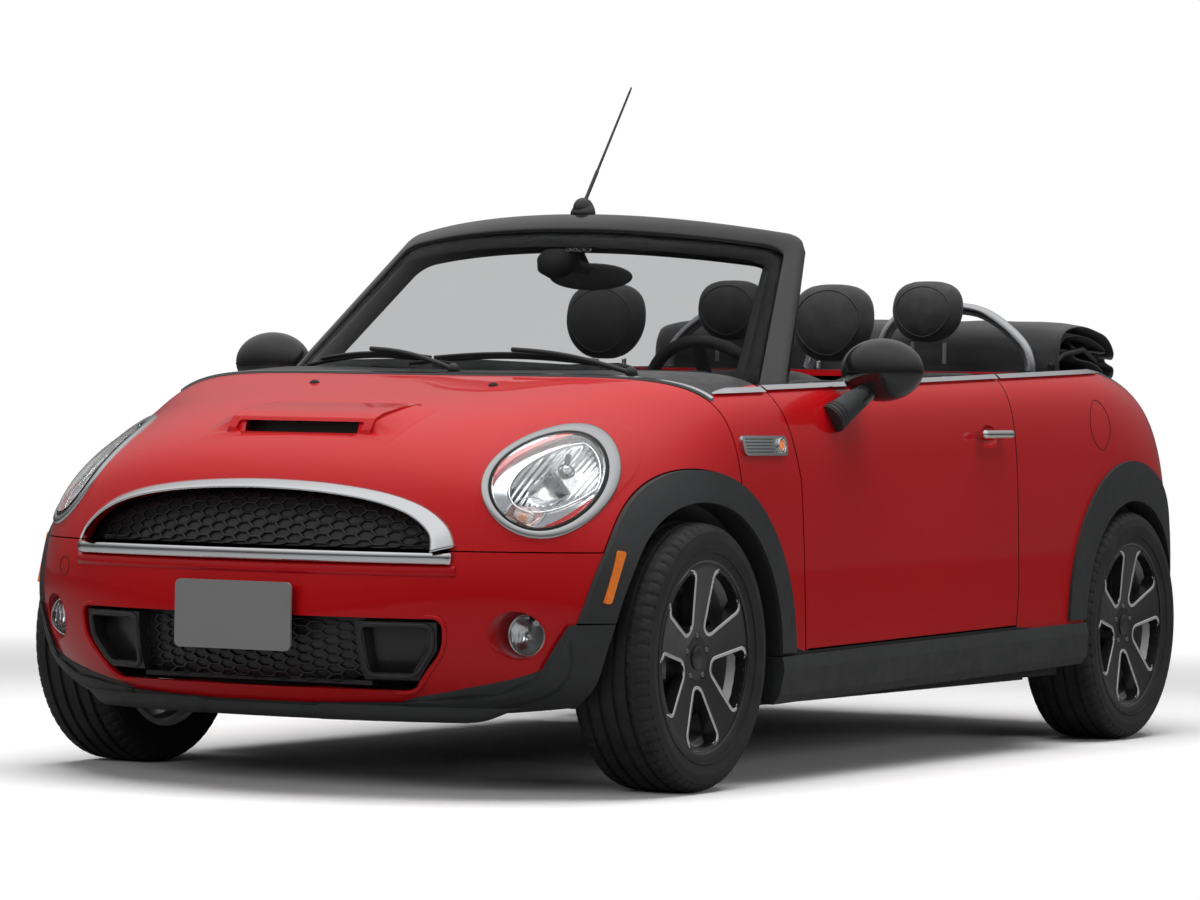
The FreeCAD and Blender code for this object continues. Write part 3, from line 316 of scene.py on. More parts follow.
ALUMINIUM = brushed("aluminium_bar", (0.72, 0.73, 0.75), 0.26, (700.0, 60.0, 700.0))


def dress(material, *names):
    """Gives whole nodes one material."""
    for name in names:
        mesh = nodes[name].data
        mesh.materials.clear()
        mesh.materials.append(material)


def dress_faces(name, materials, choose):
    """Gives each face of a node the material whose place in the list choose(centre, normal) returns."""
    mesh = nodes[name].data
    mesh.materials.clear()
    for material in materials:
        mesh.materials.append(material)
    for face in mesh.polygons:
        face.material_index = choose(face.center, face.normal)


# Mesh helpers

def linked(name, mesh, material, body, smooth=True):
    """An object of one material that rides on a body."""
    mesh.materials.clear()
    mesh.materials.append(material)
    for face in mesh.polygons:
        face.use_smooth = smooth
    made = bpy.data.objects.new(name, mesh)
    scene.collection.objects.link(made)
    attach(made, body)
    return made


def mesh_object(name, verts, faces, material, body, smooth=True):
    """A mesh with its faces turned outward."""
    mesh = bpy.data.meshes.new(name)
    mesh.from_pydata([tuple(v) for v in verts], [], faces)
    mesh.validate()
    mesh.update()
    work = bmesh.new()
    work.from_mesh(mesh)
    bmesh.ops.recalc_face_normals(work, faces=work.faces)
    work.to_mesh(mesh)
    work.free()
    return linked(name, mesh, material, body, smooth)


def from_bmesh(name, work, material, body, smooth=True):
    mesh = bpy.data.meshes.new(name)
    work.to_mesh(mesh)
    work.free()
    return linked(name, mesh, material, body, smooth)


def ring_faces(rings, size, first=0):
    """Faces between closed rings of size points each."""
    return [(first + i * size + k, first + i * size + (k + 1) % size,
             first + (i + 1) * size + (k + 1) % size, first + (i + 1) * size + k)
            for i in range(rings - 1) for k in range(size)]


def row_faces(rows, size):
    """Faces between open rows of size points each."""
    return [(i * size + k, i * size + k + 1, (i + 1) * size + k + 1, (i + 1) * size + k)
            for i in range(rows - 1) for k in range(size - 1)]


def end_faces(rings, size):
    """The two faces that close a row of rings."""
    return [tuple(range(size)), tuple(reversed(range((rings - 1) * size, rings * size)))]


def turns(count):
    """Angles of count even steps round a circle."""
    return [2 * math.pi * k / count for k in range(count)]


def modifier(made, kind, **values):
    """Adds a modifier and sets its values."""
    added = made.modifiers.new(kind.lower(), kind)
    for key, value in values.items():
        setattr(added, key, value)
    return added


def lathe(profile, centre, axis, steps=64, closed=True):
    """Vertices and faces of a turned piece. The profile is (radius, height along the axis)."""
    axis = Vector(axis).normalized()
    side = axis.orthogonal().normalized()
    other = axis.cross(side)
    verts = []
    faces = []
    count = len(profile)
    for i in range(steps):
        angle = 2 * math.pi * i / steps
        out = side * math.cos(angle) + other * math.sin(angle)
        for radius, height in profile:
            verts.append(Vector(centre) + out * radius + axis * height)
    last = count if closed else count - 1
    for i in range(steps):
        for j in range(last):
            a = i * count + j
            b = i * count + (j + 1) % count
            c = ((i + 1) % steps) * count + (j + 1) % count
            d = ((i + 1) % steps) * count + j
            faces.append((a, b, c, d))
    return verts, faces


def turned(name, profile, centre, axis, material, body, steps=64, closed=True):
    """A piece turned about an axis, from a profile of (radius, height)."""
    verts, faces = lathe(profile, centre, axis, steps, closed)
    made = mesh_object(name, verts, faces, material, body)
    work = bmesh.new()
    work.from_mesh(made.data)
    bmesh.ops.remove_doubles(work, verts=work.verts, dist=1e-5)
    work.to_mesh(made.data)
    work.free()
    return made


def tube(name, points, radius, material, body, closed=False, sides=4):
    """A round bar along points."""
    curve = bpy.data.curves.new(name, "CURVE")
    curve.dimensions = "3D"
    spline = curve.splines.new("POLY")
    spline.points.add(len(points) - 1)
    for place, point in zip(spline.points, points):
        place.co = (*point, 1)
    spline.use_cyclic_u = closed
    curve.bevel_depth = radius
    curve.bevel_resolution = sides
    curve.use_fill_caps = True
    source = bpy.data.objects.new(name + "_line", curve)
    scene.collection.objects.link(source)
    bpy.context.view_layer.update()
    mesh = bpy.data.meshes.new_from_object(source.evaluated_get(bpy.context.evaluated_depsgraph_get()))
    bpy.data.objects.remove(source)
    mesh.name = name
    return linked(name, mesh, material, body)


def tree_of(*names):
    """A ray target made of CAD nodes."""
    work = bmesh.new()
    for name in names:
        work.from_mesh(nodes[name].data)
    found = BVHTree.FromBMesh(work)
    work.free()
    return found


def hit(tree, origin, direction):
    """The first point of the target along a ray, or None."""
    place, normal, _, _ = tree.ray_cast(Vector(origin), Vector(direction).normalized())
    return place, normal


def rounded(points, radius, steps=6):
    """A closed outline with its corners rounded."""
    made = []
    count = len(points)
    for i, corner in enumerate(points):
        before = Vector(points[i - 1]) - Vector(corner)
        after = Vector(points[(i + 1) % count]) - Vector(corner)
        reach = min(radius, before.length * 0.45, after.length * 0.45)
        first = Vector(corner) + before.normalized() * reach
        last = Vector(corner) + after.normalized() * reach
        for k in range(steps + 1):
            t = k / steps
            made.append(tuple(first * (1 - t) ** 2 + Vector(corner) * 2 * t * (1 - t) + last * t ** 2))
    return made


def inside(outline, u, v):
    """True where a point lies in a flat outline."""
    found = False
    for i, (u1, v1) in enumerate(outline):
        u2, v2 = outline[i - 1]
        if (v1 > v) != (v2 > v) and u < (u2 - u1) * (v - v1) / (v2 - v1) + u1:
            found = not found
    return found


# Finishes of the solids

dress(PAINT, "bonnet", "front_bumper", "rear_bumper", "tailgate")
SHELL_TREE = tree_of("body_shell", "floor_pan", "door_left", "door_right")


def body_chooser(c, n):
    """Outside paint, dark trim for what faces the cabin or the deck, underseal in the arches and below."""
    for axle in (FRONT_AXLE, REAR_AXLE):
        if math.hypot(c.x - axle, c.z - AXLE_Z) < 0.40 and n.x * (axle - c.x) + n.z * (AXLE_Z - c.z) > 0.05:
            return 2
    if c.z < 0.318 or n.z < -0.75 and c.z < 0.7:
        return 2
    if n.z > 0.6 and abs(c.y) < 0.715 and rx(-330) < c.x < fx(-900) and c.z > 0.8:
        return 1
    place, _ = hit(SHELL_TREE, c + n * 0.002, n)
    return 1 if place is not None and (place - c).length < 2.2 else 0


def mirror_chooser(c, n):
    """Glossy housing with the glass on its rear face, over a grained stalk."""
    off_housing = math.hypot((c.x - fx(-800)) / 0.062, (c.z - 0.972) / 0.076) > 1.0
    if c.x > fx(-792) and abs(c.y) < 0.853 and c.z < 0.93 - (c.x - fx(-790)) * 0.1 and off_housing:
        return 2
    return 1 if n.x < -0.9 and c.z > 0.9 else 0


dress_faces("body_shell", [PAINT, SOFT_TOUCH, UNDERBODY], body_chooser)
for side, sign in SIDES:
    dress_faces("door_" + side, [PAINT, SOFT_TOUCH],
                lambda c, n, sign=sign: 1 if n.y * sign < -0.5 and abs(c.y) < 0.78 else 0)
    dress(SOFT_TOUCH, "door_lining_" + side)
    dress_faces("door_trim_" + side, [CHROME], lambda c, n: 0)
    dress_faces("mirror_" + side, [GLOSS, MIRROR, CLADDING], mirror_chooser)
    dress(CAST_IRON, "knuckle_" + side)
dress(CLADDING, "arch_cladding", "sill_cladding", "front_valance", "rear_valance")
dress(GRILLE, "grille_mesh", "lower_mesh", "scoop_mesh")
dress(SATIN, "brake_ducts", "cowl_panel")
dress(CHROME, "grille_bar", "belt_trim")
dress(SATIN_CHROME, "bonnet_trim")
dress(REFLECTOR, "fog_lamps", "headlamps")
dress(CLEAR, "headlamp_lenses")
dress(AMBER_SOLID, "side_markers")
dress(SATIN_CHROME, "side_indicators")
dress(RED_LENS, "tail_lamps")
dress(PLATE, "number_plate")
dress(SATIN, "windscreen_frame", "antenna", "wipers")
dress(WINDSCREEN, "windscreen_glass")
dress_faces("interior_mirror", [SOFT_TOUCH, MIRROR], lambda c, n: 1 if n.x < -0.95 else 0)
dress(SOFT_TOUCH, "dashboard", "steering_wheel", "seat_bases")
dress(ALUMINIUM, "rest_posts", "roll_hoops")
dress(CARPET, "floor_pan")
dress(UNDERBODY, "suspension")
dress(CAST_IRON, "engine_block", "steering_rack")
dress(STEEL, "exhaust")
dress(LEATHER, "front_seats", "rear_seat")
dress(CANVAS, "soft_top")



# Wheels

def tyre_profile():
    """Half-open section of the tyre as (radius, across): beads, sidewalls, shoulders, grooved tread."""
    side = [(0.2168, 0.087), (0.225, 0.0935), (0.2375, 0.0955), (0.2385, 0.0990), (0.2420, 0.0995),
            (0.2430, 0.0975), (0.252, 0.1000), (0.264, 0.1015), (0.2660, 0.1022), (0.2685, 0.1018),
            (0.276, 0.1008), (0.2845, 0.0985), (0.2860, 0.0985), (0.2885, 0.0965), (0.2925, 0.0945),
            (0.2985, 0.0895), (0.3020, 0.0840), (0.3042, 0.0775)]
    tread = []
    for centre in (0.053, 0.0185):
        crown = 0.3078 - 0.28 * centre * centre
        tread += [(crown - 0.0008, centre + 0.0062), (crown - 0.0070, centre + 0.0042),
                  (crown - 0.0070, centre - 0.0042), (crown, centre - 0.0062)]
    half = side + [(0.3060, 0.068)] + tread
    return half + [(r, -a) for r, a in reversed(half)]


def tyre(name, centre, sign, body):
    """A tyre with four grooves round it and slanted sipes across its ribs."""
    profile = tyre_profile()
    pitches = 64
    per_pitch = 5
    steps = pitches * per_pitch
    verts = []
    faces = []
    count = len(profile)
    for i in range(steps):
        for j, (radius, across) in enumerate(profile):
            groove = 0.0
            if abs(across) < 0.0985 and radius > 0.286:
                lag = 2.2 * abs(across) / 0.1 if abs(across) > 0.05 else -1.2 * across / 0.05
                phase = (i - round(lag)) % per_pitch
                deep = 0.0045 if abs(across) > 0.06 else 0.0030
                if phase == 0 and not 0.0585 < abs(across) < 0.0600:
                    groove = deep if abs(across) > 0.026 or abs(across) < 0.012 else 0.0
            angle = 2 * math.pi * (i / steps)
            reach = radius - groove
            verts.append(Vector((centre[0] + reach * math.cos(angle), centre[1] + across * sign,
                                 centre[2] + reach * math.sin(angle))))
    for i in range(steps):
        for j in range(count - 1):
            faces.append((i * count + j, i * count + j + 1, (i + 1) % steps * count + j + 1,
                          (i + 1) % steps * count + j))
    for i in range(steps):
        faces.append((i * count + count - 1, i * count, (i + 1) % steps * count,
                      (i + 1) % steps * count + count - 1))
    made = mesh_object(name, verts, faces, RUBBER, body)
    made.data.set_sharp_from_angle(angle=math.radians(32))
    return made


def window_outline(index):
    """The rounded window between two spokes, as in the rim, on the wheel's face."""
    angle = 2 * math.pi * (index + 0.5) / 5 + math.pi / 2
    outline = [(0.074, -0.013), (0.074, 0.013), (0.180, 0.071), (0.196, 0.058), (0.203, 0.030), (0.205, 0.0),
               (0.203, -0.030), (0.196, -0.058), (0.180, -0.071)]
    turned_points = []
    for r, t in outline:
        turned_points.append((r * math.cos(angle) - t * math.sin(angle),
                              r * math.sin(angle) + t * math.cos(angle)))
    return turned_points


def offset_loop(points, distance):
    """A closed outline moved outward by a distance."""
    moved = []
    area = sum(points[i - 1][0] * p[1] - p[0] * points[i - 1][1] for i, p in enumerate(points))
    turn = 1 if area > 0 else -1
    for i, (u, v) in enumerate(points):
        u0, v0 = points[i - 1]
        u1, v1 = points[(i + 1) % len(points)]
        du, dv = u1 - u0, v1 - v0
        length = math.hypot(du, dv) or 1.0
        moved.append((u + turn * dv / length * distance, v - turn * du / length * distance))
    return moved


def wheel_details(name, end, side, sign, centre, body):
    """Machined edges round the windows and the lip, wheel bolts and valve."""
    rim = "rim_%s_%s" % (end, side)
    face_tree = tree_of(rim)
    cx, cy, cz = centre

    def on_face(u, v, lift):
        place, _ = hit(face_tree, (cx + u, cy + sign * 0.2, cz + v), (0, -sign, 0))
        depth = (place.y - cy) * sign if place else 0.07
        return Vector((cx + u, cy + sign * (max(depth, 0.045) + lift), cz + v))

    verts = []
    faces = []
    for index in range(5):
        inner = rounded(window_outline(index), 0.014)
        loops = [offset_loop(inner, d) for d in (0.0004, 0.0012, 0.0086, 0.0096)]
        lifts = (-0.0012, 0.0009, 0.0009, -0.0012)
        base = len(verts)
        size = len(inner)
        heights = [on_face(u, v, 0) for u, v in offset_loop(inner, 0.0096)]
        for loop, lift in zip(loops, lifts):
            for (u, v), level in zip(loop, heights):
                verts.append(Vector((cx + u, level.y + sign * lift, cz + v)))
        faces += ring_faces(4, size, base)
    mesh_object(name + "_edges", verts, faces, RIM_BRIGHT, body)
    turned(name + "_flange", [(0.2150, 0.0865), (0.2160, 0.0893), (0.2215, 0.0908), (0.2345, 0.0912),
                              (0.2360, 0.0890), (0.2230, 0.0880)], centre, (0, sign, 0), RIM_GREY, body, 120)
    turned(name + "_lip", [(0.2335, 0.0900), (0.2340, 0.0918), (0.2360, 0.0926), (0.2415, 0.0926),
                           (0.2432, 0.0912), (0.2432, 0.0880)], centre, (0, sign, 0), RIM_BRIGHT, body, 120)
    for index in range(5):
        angle = 2 * math.pi * index / 5 + math.pi / 2
        spot = (cx + 0.050 * math.cos(angle), cy + sign * 0.060, cz + 0.050 * math.sin(angle))
        turned("%s_bolt_%d" % (name, index), [(0.0001, -0.002), (0.0082, -0.002), (0.0082, 0.003),
                                              (0.0070, 0.009), (0.0060, 0.0102), (0.0040, 0.0102),
                                              (0.0032, 0.006), (0.0001, 0.006)],
               spot, (0, sign, 0), CAST_IRON, body, 6, closed=False)
    turned(name + "_cap_ring", [(0.0205, 0.0712), (0.0215, 0.0724), (0.0245, 0.0722), (0.0262, 0.0708),
                                (0.0262, 0.0690), (0.0205, 0.0690)], centre, (0, sign, 0), RIM_GREY, body, 48)
    tube(name + "_valve", [(cx + 0.198 * math.cos(0.9), cy + sign * 0.052, cz + 0.198 * math.sin(0.9)),
                           (cx + 0.186 * math.cos(0.9), cy + sign * 0.076, cz + 0.186 * math.sin(0.9))],
         0.0035, SEAL, body)


def rim_chooser(centre, sign):
    """Chooser: brake disc behind the spokes, silver barrel, grey spokes."""
    def choose(c, n):
        radius = math.hypot(c.x - centre[0], c.z - centre[2])
        depth = (c.y - centre[1]) * sign
        if radius < 0.1475 and depth < 0.0355:
            return 1
        if radius > 0.185 and depth < 0.060:
            return 2
        return 0
    return choose


for end, axle, wheel_y in (("front", FRONT_AXLE, FRONT_WHEEL_Y), ("rear", REAR_AXLE, REAR_WHEEL_Y)):
    for side, sign in SIDES:
        wheel_body = "wheel_%s_%s" % (end, side)
        middle = (axle, sign * wheel_y, AXLE_Z)
        rubber = tyre("tread_%s_%s" % (end, side), middle, sign, wheel_body)
        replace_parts(rubber, "tyre_%s_%s" % (end, side))
        dress_faces("rim_%s_%s" % (end, side), [RIM_GREY, STEEL, BARREL], rim_chooser(middle, sign))
        wheel_details("wheel_%s_%s" % (end, side), end, side, sign, middle, wheel_body)


# Grille nets

CELL_WIDTH = 0.046
CELL_HEIGHT = 0.0215
CELL_WALL = 0.0026
NET_LIFT = 0.0065
NET_DEPTH = 0.006


def hex_net(name, outline, target):
    """A net of flat-topped cells laid on a solid: rims of cells inside the outline, as ribs with depth."""
    width, height, wall = CELL_WIDTH, CELL_HEIGHT, CELL_WALL
    work = bmesh.new()
    us = [u for u, v in outline]
    vs = [v for u, v in outline]
    column = width * 0.75
    first = int(min(us) / column) - 1
    last = int(max(us) / column) + 1
    rows = range(int(min(vs) / height) - 2, int(max(vs) / height) + 3)

    def place(u, v, out):
        found, _ = hit(target, (3, u, v), (-1, 0, 0))
        return None if found is None else found + Vector((out, 0, 0))

    for column_index in range(first, last + 1):
        for row in rows:
            cu = column_index * column
            cv = row * height + (height / 2 if column_index % 2 else 0)
            corners = [(cu + width / 2 * c, cv + height / 2 * s) for c, s in
                       ((1, 0), (0.5, 1), (-0.5, 1), (-1, 0), (-0.5, -1), (0.5, -1))]
            if sum(inside(outline, u, v) for u, v in corners) < 4:
                continue
            outer = []
            inner = []
            for u, v in corners:
                outer.append((u, v))
                du, dv = cu - u, cv - v
                length = math.hypot(du, dv)
                grow = wall * (1.0 + 0.3 * abs(du) / length)
                inner.append((u + du / length * grow, v + dv / length * grow))
            rings = []
            for points, out in ((outer, NET_LIFT), (inner, NET_LIFT - 0.0008), (inner, NET_LIFT - NET_DEPTH)):
                ring = []
                for u, v in points:
                    if not inside(outline, u, v):
                        u = u * 0.5 + cu * 0.5
                        v = v * 0.5 + cv * 0.5
                    spot = place(u, v, out)
                    if spot is None:
                        ring = None
                        break
                    ring.append(work.verts.new(spot))
                if ring is None:
                    rings = None
                    break
                rings.append(ring)
            if rings is None:
                continue
            for k in range(2):
                for i in range(6):
                    work.faces.new((rings[k][i], rings[k][(i + 1) % 6], rings[k + 1][(i + 1) % 6],
                                    rings[k + 1][i]))
    bmesh.ops.remove_doubles(work, verts=work.verts, dist=0.0004)
    bmesh.ops.recalc_face_normals(work, faces=work.faces)
    return from_bmesh(name, work, GRILLE, "chassis", smooth=False)


MOUTH = [(0.478, 0.553), (0.463, 0.592), (0.408, 0.632), (0.316, 0.660), (0.170, 0.678), (0, 0.684)]
MOUTH = MOUTH + [(-u, v) for u, v in reversed(MOUTH[:-1])]
hex_net("net_grille", MOUTH, tree_of("grille_mesh"))
INTAKE = [(0.290, 0.392), (0.296, 0.330), (0.296, 0.262), (0.285, 0.252)]
INTAKE = INTAKE + [(-u, v) for u, v in reversed(INTAKE)]
hex_net("net_intake", INTAKE, tree_of("lower_mesh"))


# Seats as soft goods

CLOTH_PRESSURE = 4.0
CLOTH_VOXEL = 0.008
SEAM_LIFT = 0.0004


def rounded_block(size, cuts, power):
    """A crowned block, centred at the origin: a box drawn towards a superellipsoid."""
    work = bmesh.new()
    bmesh.ops.create_cube(work, size=2.0)
    bmesh.ops.subdivide_edges(work, edges=work.edges, cuts=cuts, use_grid_fill=True)
    for vert in work.verts:
        x, y, z = vert.co
        norm = (abs(x) ** power + abs(y) ** power + abs(z) ** power) ** (1 / power)
        vert.co = Vector((x / norm * size[0] / 2, y / norm * size[1] / 2, z / norm * size[2] / 2))
    return work


def inflated(made, cap):
    """Cloth under pressure, its movement capped, applied to the mesh: fabric drawn tight over foam."""
    remesh = made.modifiers.new("remesh", "REMESH")
    remesh.mode = "VOXEL"
    remesh.voxel_size = CLOTH_VOXEL
    apply_modifiers(made)
    start = [v.co.copy() for v in made.data.vertices]
    cloth = made.modifiers.new("cloth", "CLOTH")
    cloth.settings.use_pressure = True
    cloth.settings.uniform_pressure_force = CLOTH_PRESSURE
    cloth.settings.effector_weights.gravity = 0.0
    cloth.settings.tension_stiffness = 15
    cloth.settings.compression_stiffness = 15
    cloth.settings.bending_stiffness = 0.5
    cloth.settings.quality = 3
    cloth.point_cache.frame_start = 1
    cloth.point_cache.frame_end = 20
    for step in range(1, 21):
        scene.frame_set(step)
    apply_modifiers(made)
    scene.frame_set(1)
    for vert, before in zip(made.data.vertices, start):
        moved = vert.co - before
        if moved.length > cap:
            vert.co = before + moved.normalized() * cap
    smooth = made.modifiers.new("smooth", "SMOOTH")
    smooth.iterations = 6
    apply_modifiers(made)
    for face in made.data.polygons:
        face.use_smooth = True
    return made


def apply_modifiers(made):
    """Keeps the evaluated mesh in place of the modifiers."""
    bpy.context.view_layer.update()
    depsgraph = bpy.context.evaluated_depsgraph_get()
    mesh = bpy.data.meshes.new_from_object(made.evaluated_get(depsgraph))
    made.modifiers.clear()
    made.data = mesh


def soft_piece(name, size, place, lean, shape, cap=0.014, cuts=14, power=5.0):
    """A stuffed piece: crowned block, shaped by a function of its unit coordinates, then swelled."""
    work = rounded_block(size, cuts, power)
    for vert in work.verts:
        u = Vector((vert.co.x / size[0] * 2, vert.co.y / size[1] * 2, vert.co.z / size[2] * 2))
        vert.co = shape(u, vert.co.copy())
    turn_lean = Matrix.Rotation(math.radians(lean), 4, "Y")
    bmesh.ops.transform(work, matrix=Matrix.Translation(place) @ turn_lean, verts=work.verts)
    mesh = bpy.data.meshes.new(name)
    work.to_mesh(mesh)
    work.free()
    mesh.materials.append(LEATHER)
    made = bpy.data.objects.new(name, mesh)
    scene.collection.objects.link(made)
    inflated(made, cap)
    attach(made, "chassis")
    return made


def seam_on(name, made, points, direction, radius, closed=False):
    """A piped seam: a thin round line that lies on a soft piece, found by rays along a direction."""
    work = bmesh.new()
    work.from_mesh(made.data)
    target = BVHTree.FromBMesh(work)
    work.free()
    direction = Vector(direction).normalized()
    line = []
    for point in points:
        place, _ = hit(target, Vector(point) - direction * 0.4, direction)
        if place is not None:
            line.append(place - direction * SEAM_LIFT)
    if len(line) > 2:
        tube(name, line, radius, LEATHER, "chassis", closed, 2)


# Lamps

LAMP_TREE = tree_of("bonnet", "headlamp_lenses")
TILT = math.radians(-57)
LAMP_LONG = 0.119
LAMP_SHORT = 0.081
LAMP_SHIFT = -0.004
MAIN_AT = (0.014, 0.014)
TURN_AT = (-0.004, -0.066)


def oval_place(rho, angle):
    """Place across and up from the lamp's middle, on a slanting oval."""
    a = rho * LAMP_LONG * math.cos(angle)
    b = rho * LAMP_SHORT * math.sin(angle)
    return (LAMP_SHIFT + a * math.cos(TILT) - b * math.sin(TILT), a * math.sin(TILT) + b * math.cos(TILT))


def in_opening(a, b):
    """How far out a place lies, as a share of the oval opening in the bonnet."""
    return math.hypot(a / 0.1085, b / 0.1285)


def main_cup(a, b):
    """Above 0 inside the round cup of the main lamp."""
    return 1 - ((a - MAIN_AT[0]) / 0.066) ** 2 - ((b - MAIN_AT[1]) / 0.076) ** 2


def turn_cup(a, b):
    """Above 0 inside the small cup of the turn signal."""
    return 1 - ((a - TURN_AT[0]) / 0.033) ** 2 - ((b - TURN_AT[1]) / 0.035) ** 2


def nose_surface(sign):
    """Smooth height map x(across, up) of the nose round a headlamp."""
    powers = [(i, j) for i in range(6) for j in range(6 - i)]
    rows = []
    values = []
    for i in range(-16, 17):
        for j in range(-18, 19):
            a, b = i * 0.009, j * 0.009
            place, normal = hit(LAMP_TREE, (3, sign * (LAMP.y + a), LAMP.z + b), (-1, 0, 0))
            if place is not None and abs(normal.x) > 0.2 and math.hypot(a / 0.15, b / 0.165) < 1.0:
                rows.append([(a * 8) ** p * (b * 8) ** q for p, q in powers])
                values.append(place.x)
    for _ in range(3):
        found = np.linalg.lstsq(np.array(rows), np.array(values), rcond=None)[0]
        error = np.abs(np.array(rows) @ found - np.array(values))
        keep = error < max(0.0015, 2.5 * float(np.median(error)))
        rows = [row for row, good in zip(rows, keep) if good]
        values = [value for value, good in zip(values, keep) if good]

    def surface(a, b, below=0.0):
        x = sum(c * (a * 8) ** p * (b * 8) ** q for c, (p, q) in zip(found, powers))
        step = 0.002
        xa = sum(c * ((a + step) * 8) ** p * (b * 8) ** q for c, (p, q) in zip(found, powers))
        xb = sum(c * (a * 8) ** p * ((b + step) * 8) ** q for c, (p, q) in zip(found, powers))
        normal = Vector((1.0, -(xa - x) / step * sign, -(xb - x) / step)).normalized()
        return Vector((x, sign * (LAMP.y + a), LAMP.z + b)) - normal * below
    return surface


def lamp_rings(name, levels, around, place, material):
    """A sheet of rings round the lamp's middle."""
    verts = [place(i, angle) for i in range(levels) for angle in turns(around)]
    return mesh_object(name, verts, ring_faces(levels, around), material, "bonnet")


